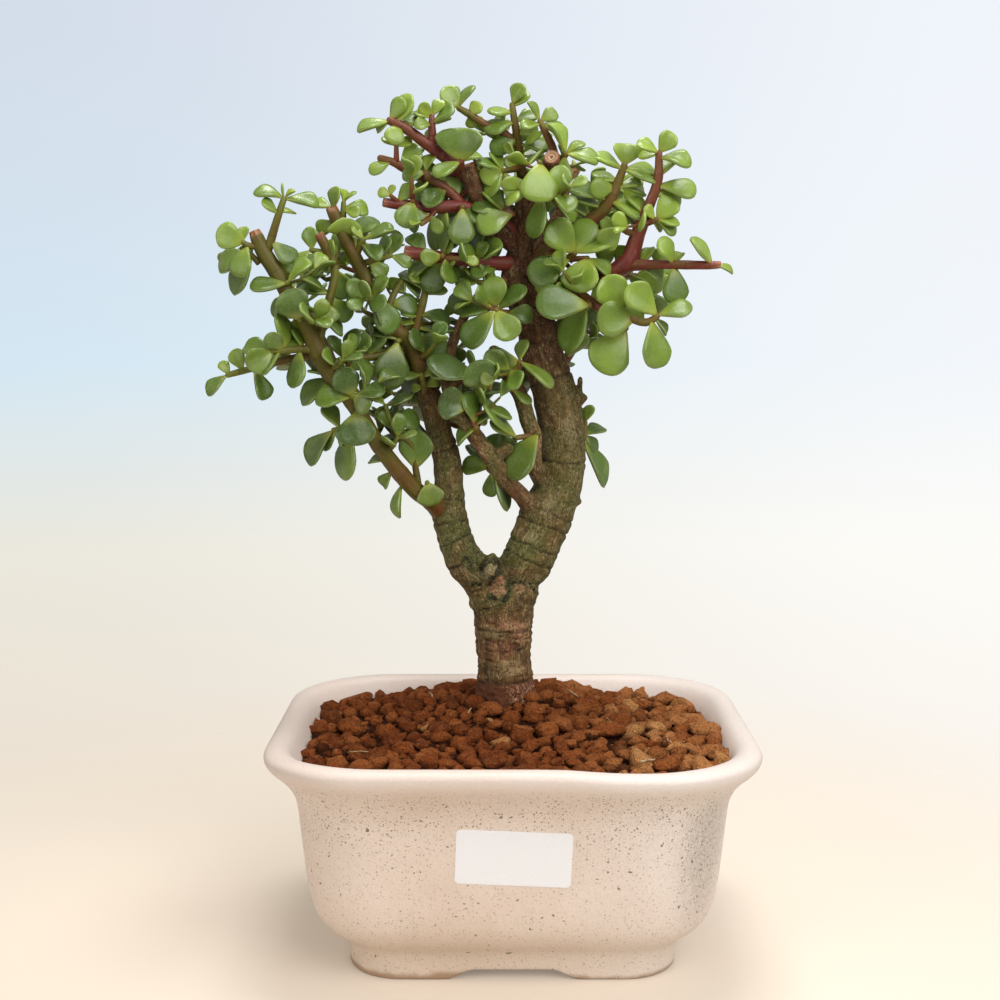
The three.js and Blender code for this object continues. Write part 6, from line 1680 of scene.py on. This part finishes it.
def granule_shapes(draw):
    """A few different granules as small meshes, each 54 faces: lumpy balls with sides knocked flat and crisp ridges"""
    shapes = []
    for i in range(16):
        bm = bmesh.new()
        bmesh.ops.create_cube(bm, size=2)
        bmesh.ops.subdivide_edges(bm, edges=bm.edges, cuts=2, use_grid_fill=True)
        squash = Vector((draw(0.85, 1.3), draw(0.8, 1.1), draw(0.65, 0.95)))
        flats = [(Vector((draw(-1, 1), draw(-1, 1), draw(-1, 1))).normalized(), draw(0.55, 0.85)) for _ in range(7)]
        for vert in bm.verts:
            direction = vert.co.normalized()
            bumps = noise.fractal(direction * 1.5 + Vector((i * 7.3, 0, 0)), 0.6, 2.4, 3)
            point = direction * (1.04 + 0.5 * bumps)
            for flat, height in flats:
                point -= flat * max(0.0, point.dot(flat) - height) * 0.85
            vert.co = point * squash
        for edge in bm.edges:
            edge.smooth = edge.calc_face_angle(0) < 0.55
        shapes.append(to_mesh(bm, "granule"))
    return shapes


def soil_surface():
    """The top of the soil's solid, to be met from above"""
    to_pot = TO_FRAME.inverted()
    mesh = bpy.data.objects["soil"].data
    faces = [tuple(face.vertices) for face in mesh.polygons]
    return BVHTree.FromPolygons([to_pot @ vert.co for vert in mesh.vertices], faces)


def soil_height(surface, x, y):
    """How high the soil lies at x, y, or None beside it"""
    hit = surface.ray_cast(Vector((x, y, 140)), Vector((0, 0, -1)))[0]
    return None if hit is None else hit.z


def inside_pot(x, y, margin):
    """True where a point on the soil lies more than margin inside the pot's inner wall"""
    dx = abs(x) - (INNER_HALF - INNER_CORNER)
    dy = abs(y) - (INNER_HALF - WIDTH_LESS_DEPTH - INNER_CORNER)
    reach = math.hypot(max(dx, 0), max(dy, 0)) + min(max(dx, dy), 0)
    return INNER_CORNER - reach > margin


def scatter_granules(surface, draw):
    """Granules as x, y, radius, z: large ones first, then smaller ones in the gaps. They heap up on the right."""
    placed = []
    cells = {}
    for tries, low, high, overlap, lift in GRANULE_PASSES:
        for _ in range(tries):
            x, y = draw(-76, 76), draw(-62, 62)
            radius = low + (high - low) * draw() ** 1.6
            if not inside_pot(x, y, radius * (0.45 - 0.3 * ease(x, 50, 70))):
                continue
            from_foot = math.hypot(x - TRUNK_FOOT.x, y - TRUNK_FOOT.y)
            if from_foot < 8.8 + radius * 0.4:
                continue
            column, row = int(x // GRANULE_CELL), int(y // GRANULE_CELL)
            near = [g for i in (-1, 0, 1) for j in (-1, 0, 1) for g in cells.get((column + i, row + j), ())]
            if any(math.hypot(x - g[0], y - g[1]) < overlap * (radius + g[2]) for g in near):
                continue
            ground = soil_height(surface, x, y)
            if ground is None:
                continue
            heap = 3.4 * ease(x, 54, 72) * ease(-y, -30, 20)
            z = ground - 0.8 + lift * radius + heap + 1.4 * (1 - ease(from_foot, 9, 17))
            granule = (x, y, radius, z)
            cells.setdefault((column, row), []).append(granule)
            placed.append(granule)
    return placed


def dampness(x, y, radius, draw):
    """How damp a granule is: most in the streak on the right, and a few single ones anywhere"""
    damp = 0
    if 30 < x < 60 and -45 < y < 25:
        run_x, run_y = DAMP_RUN
        gap = abs((x - DAMP_START[0]) * run_y - (y - DAMP_START[1]) * run_x) / math.hypot(run_y, run_x)
        damp = clamp(1 - gap / DAMP_REACH) * (draw(0.3, 1.3) if radius < 2.8 else draw(0, 0.3))
    return draw(0.3, 0.7) if draw() < 0.014 else damp


def build_granules():
    """Loose granules in two pieces, and the soil that they lie on for what comes after"""
    draw = Draw(23)
    shapes = granule_shapes(draw)
    surface = soil_surface()
    placed = scatter_granules(surface, draw)
    halves = {"front": [g for g in placed if g[1] < 0], "back": [g for g in placed if g[1] >= 0]}
    for half, granules in halves.items():
        bm = bmesh.new()
        paint = bm.verts.layers.float_color.new("paint")
        for x, y, radius, z in granules:
            before = len(bm.verts)
            bm.from_mesh(shapes[int(draw(0, 15.99))])
            bm.verts.ensure_lookup_table()
            place = Matrix.Translation((x, y, z)) @ (
                Matrix.Rotation(draw(0, 6.28), 4, "Z")
                @ Matrix.Rotation(draw(-0.5, 0.5), 4, "X")
                @ Matrix.Rotation(draw(-0.5, 0.5), 4, "Y")
            ) @ Matrix.Scale(radius * 1.12, 4)
            tone = clamp(0.1 + 0.62 * draw() + 0.34 * ease(x, -20, 65))
            is_tan = draw() < 0.015 + 0.1 * ease(x, 15, 70)
            tan = draw(0.6, 1.0) if is_tan else 0.3 * ease(x, 5, 60) * draw()
            damp = dampness(x, y, radius, draw)
            for vert in bm.verts[before:]:
                vert.co = place @ vert.co
                # The third paint channel is painted shade, darker toward each granule's underside
                vert[paint] = (tone, tan, ease(z - vert.co.z, -0.35 * radius, 0.6 * radius), damp)
        piece = new_piece("granules_" + half, bm, [CLAY], fix_normals=False)
    for shape in shapes:
        bpy.data.meshes.remove(shape)
    return surface


def build_rootlets(surface):
    """Dry pale rootlets that lie on the granules"""
    draw = Draw(5)
    bm = painted_mesh()
    shares = (0.7, 0.9, 1, 1, 0.9, 0.8, 0.7, 0.5)
    laid = [(45, -41, 0.35, 8, 0.5), (-9.6, 4, 1.6, 7, 0.28), (22, 29, -0.2, 8, 0.3)]
    laid += [(draw(-60, 60), draw(-45, 45), draw(0, 6.28), draw(5, 11), draw(0.2, 0.35)) for _ in range(5)]
    for x, y, heading, length, radius in laid:
        points = []
        for _ in shares:
            ground = soil_height(surface, x, y)
            if ground is None:
                break
            points.append(Vector((x, y, ground + 3.4 + draw(-0.2, 0.2))))
            x += length / 8 * math.cos(heading)
            y += length / 8 * math.sin(heading)
            heading += draw(-0.35, 0.35)
        if len(points) == len(shares):
            add_tube(bm, points, [radius * share for share in shares], 6)
    piece = new_piece("dry_rootlets", bm, [ROOTLET])


build_pot()
build_label()
build_wood()
build_shoots()
build_rootlets(build_granules())
for name, material in {"soil": SHADED_DEEP_CLAY, "drain_mesh": SCREEN}.items():
    for slot in bpy.data.objects[name].material_slots:
        slot.material = material


# Floor, light and camera

WHITE = (1, 1, 1)
WARM = (1, 0.95, 0.88)
# Name, place, size, power and colour
LIGHTS = (
    ("key_light", (0.6, -0.8, 0.9), 1.0, 12.0, WHITE),
    ("fill_light", (-0.9, -0.6, 0.45), 0.8, 3.2, WARM),
    ("top_light", (0.05, 0.1, 1.2), 0.45, 8.0, WHITE),
)
LIGHT_TARGET_HEIGHT = 0.14
LENS = 54
SENSOR_WIDTH = 36


def build_floor():
    """A pale round floor that fades out towards its edge"""
    bm = bmesh.new()
    bmesh.ops.create_circle(bm, cap_ends=True, segments=96, radius=1.4)
    floor = in_scene("floor", to_mesh(bm, "floor"))
    bench = Finish("pale_floor")
    fade = bench.range(bench.length(bench.place), 0.46, 0.1, 0, 0.82)
    floor.data.materials.append(bench.done(Base_Color=colour("f2e3d0"), Roughness=0.7, Alpha=fade))


def build_world():
    """A pale backdrop for the camera, and an even soft light for everything else"""
    world = bpy.data.worlds.new("studio")
    bpy.context.scene.world = world
    world.use_nodes = True
    bench = Bench(world.node_tree)
    aim = bench.split(bench.put("TexCoord").outputs["Generated"])
    height = bench.range(aim[2], -0.4, 0.3)
    left = bench.ramp(height, (0.0, "ebdfd0"), (0.3, "ebe8dd"), (0.55, "d4e7f3"), (1.0, "d3dbe8"))
    right = bench.ramp(height, (0.0, "faf4ec"), (0.3, "fdfcf8"), (0.55, "f3f7fb"), (1.0, "f0f4fb"))
    backdrop = bench.layers(left, (bench.range(aim[0], -0.35, 0.35), right))
    soft = world.node_tree.nodes["Background"]
    bench.give(soft.inputs["Color"], colour("fdfaf6"))
    bench.give(soft.inputs["Strength"], 0.34)
    seen = bench.put("Background", {"Color": backdrop, "Strength": 1.0})
    which = bench.put("LightPath").outputs["Is Camera Ray"]
    both = bench.put("MixShader", {0: which, 1: soft.outputs[0], 2: seen.outputs[0]})
    bench.give(world.node_tree.nodes["World Output"].inputs["Surface"], both.outputs[0])


def build_lights():
    target = Vector((POT_MIDDLE.x, 0, LIGHT_TARGET_HEIGHT))
    for name, spot, size, power, tint in LIGHTS:
        light = bpy.data.lights.new(name, "AREA")
        light.size = size
        light.energy = power
        light.color = tint
        lamp = in_scene(name, light)
        lamp.location = spot
        lamp.rotation_euler = (target - Vector(spot)).to_track_quat("-Z", "Y").to_euler()


def build_camera():
    camera = bpy.data.cameras.new("camera")
    camera.lens = LENS
    camera.sensor_width = SENSOR_WIDTH
    camera.clip_start = 0.01
    holder = in_scene("camera", camera)
    holder.location = TO_FRAME @ EYE
    holder.rotation_euler = (math.radians(90) + EYE_PITCH, 0, 0)
    bpy.context.scene.camera = holder


build_floor()
build_world()
build_lights()
build_camera()
bpy.context.scene.view_settings.view_transform = "Standard"
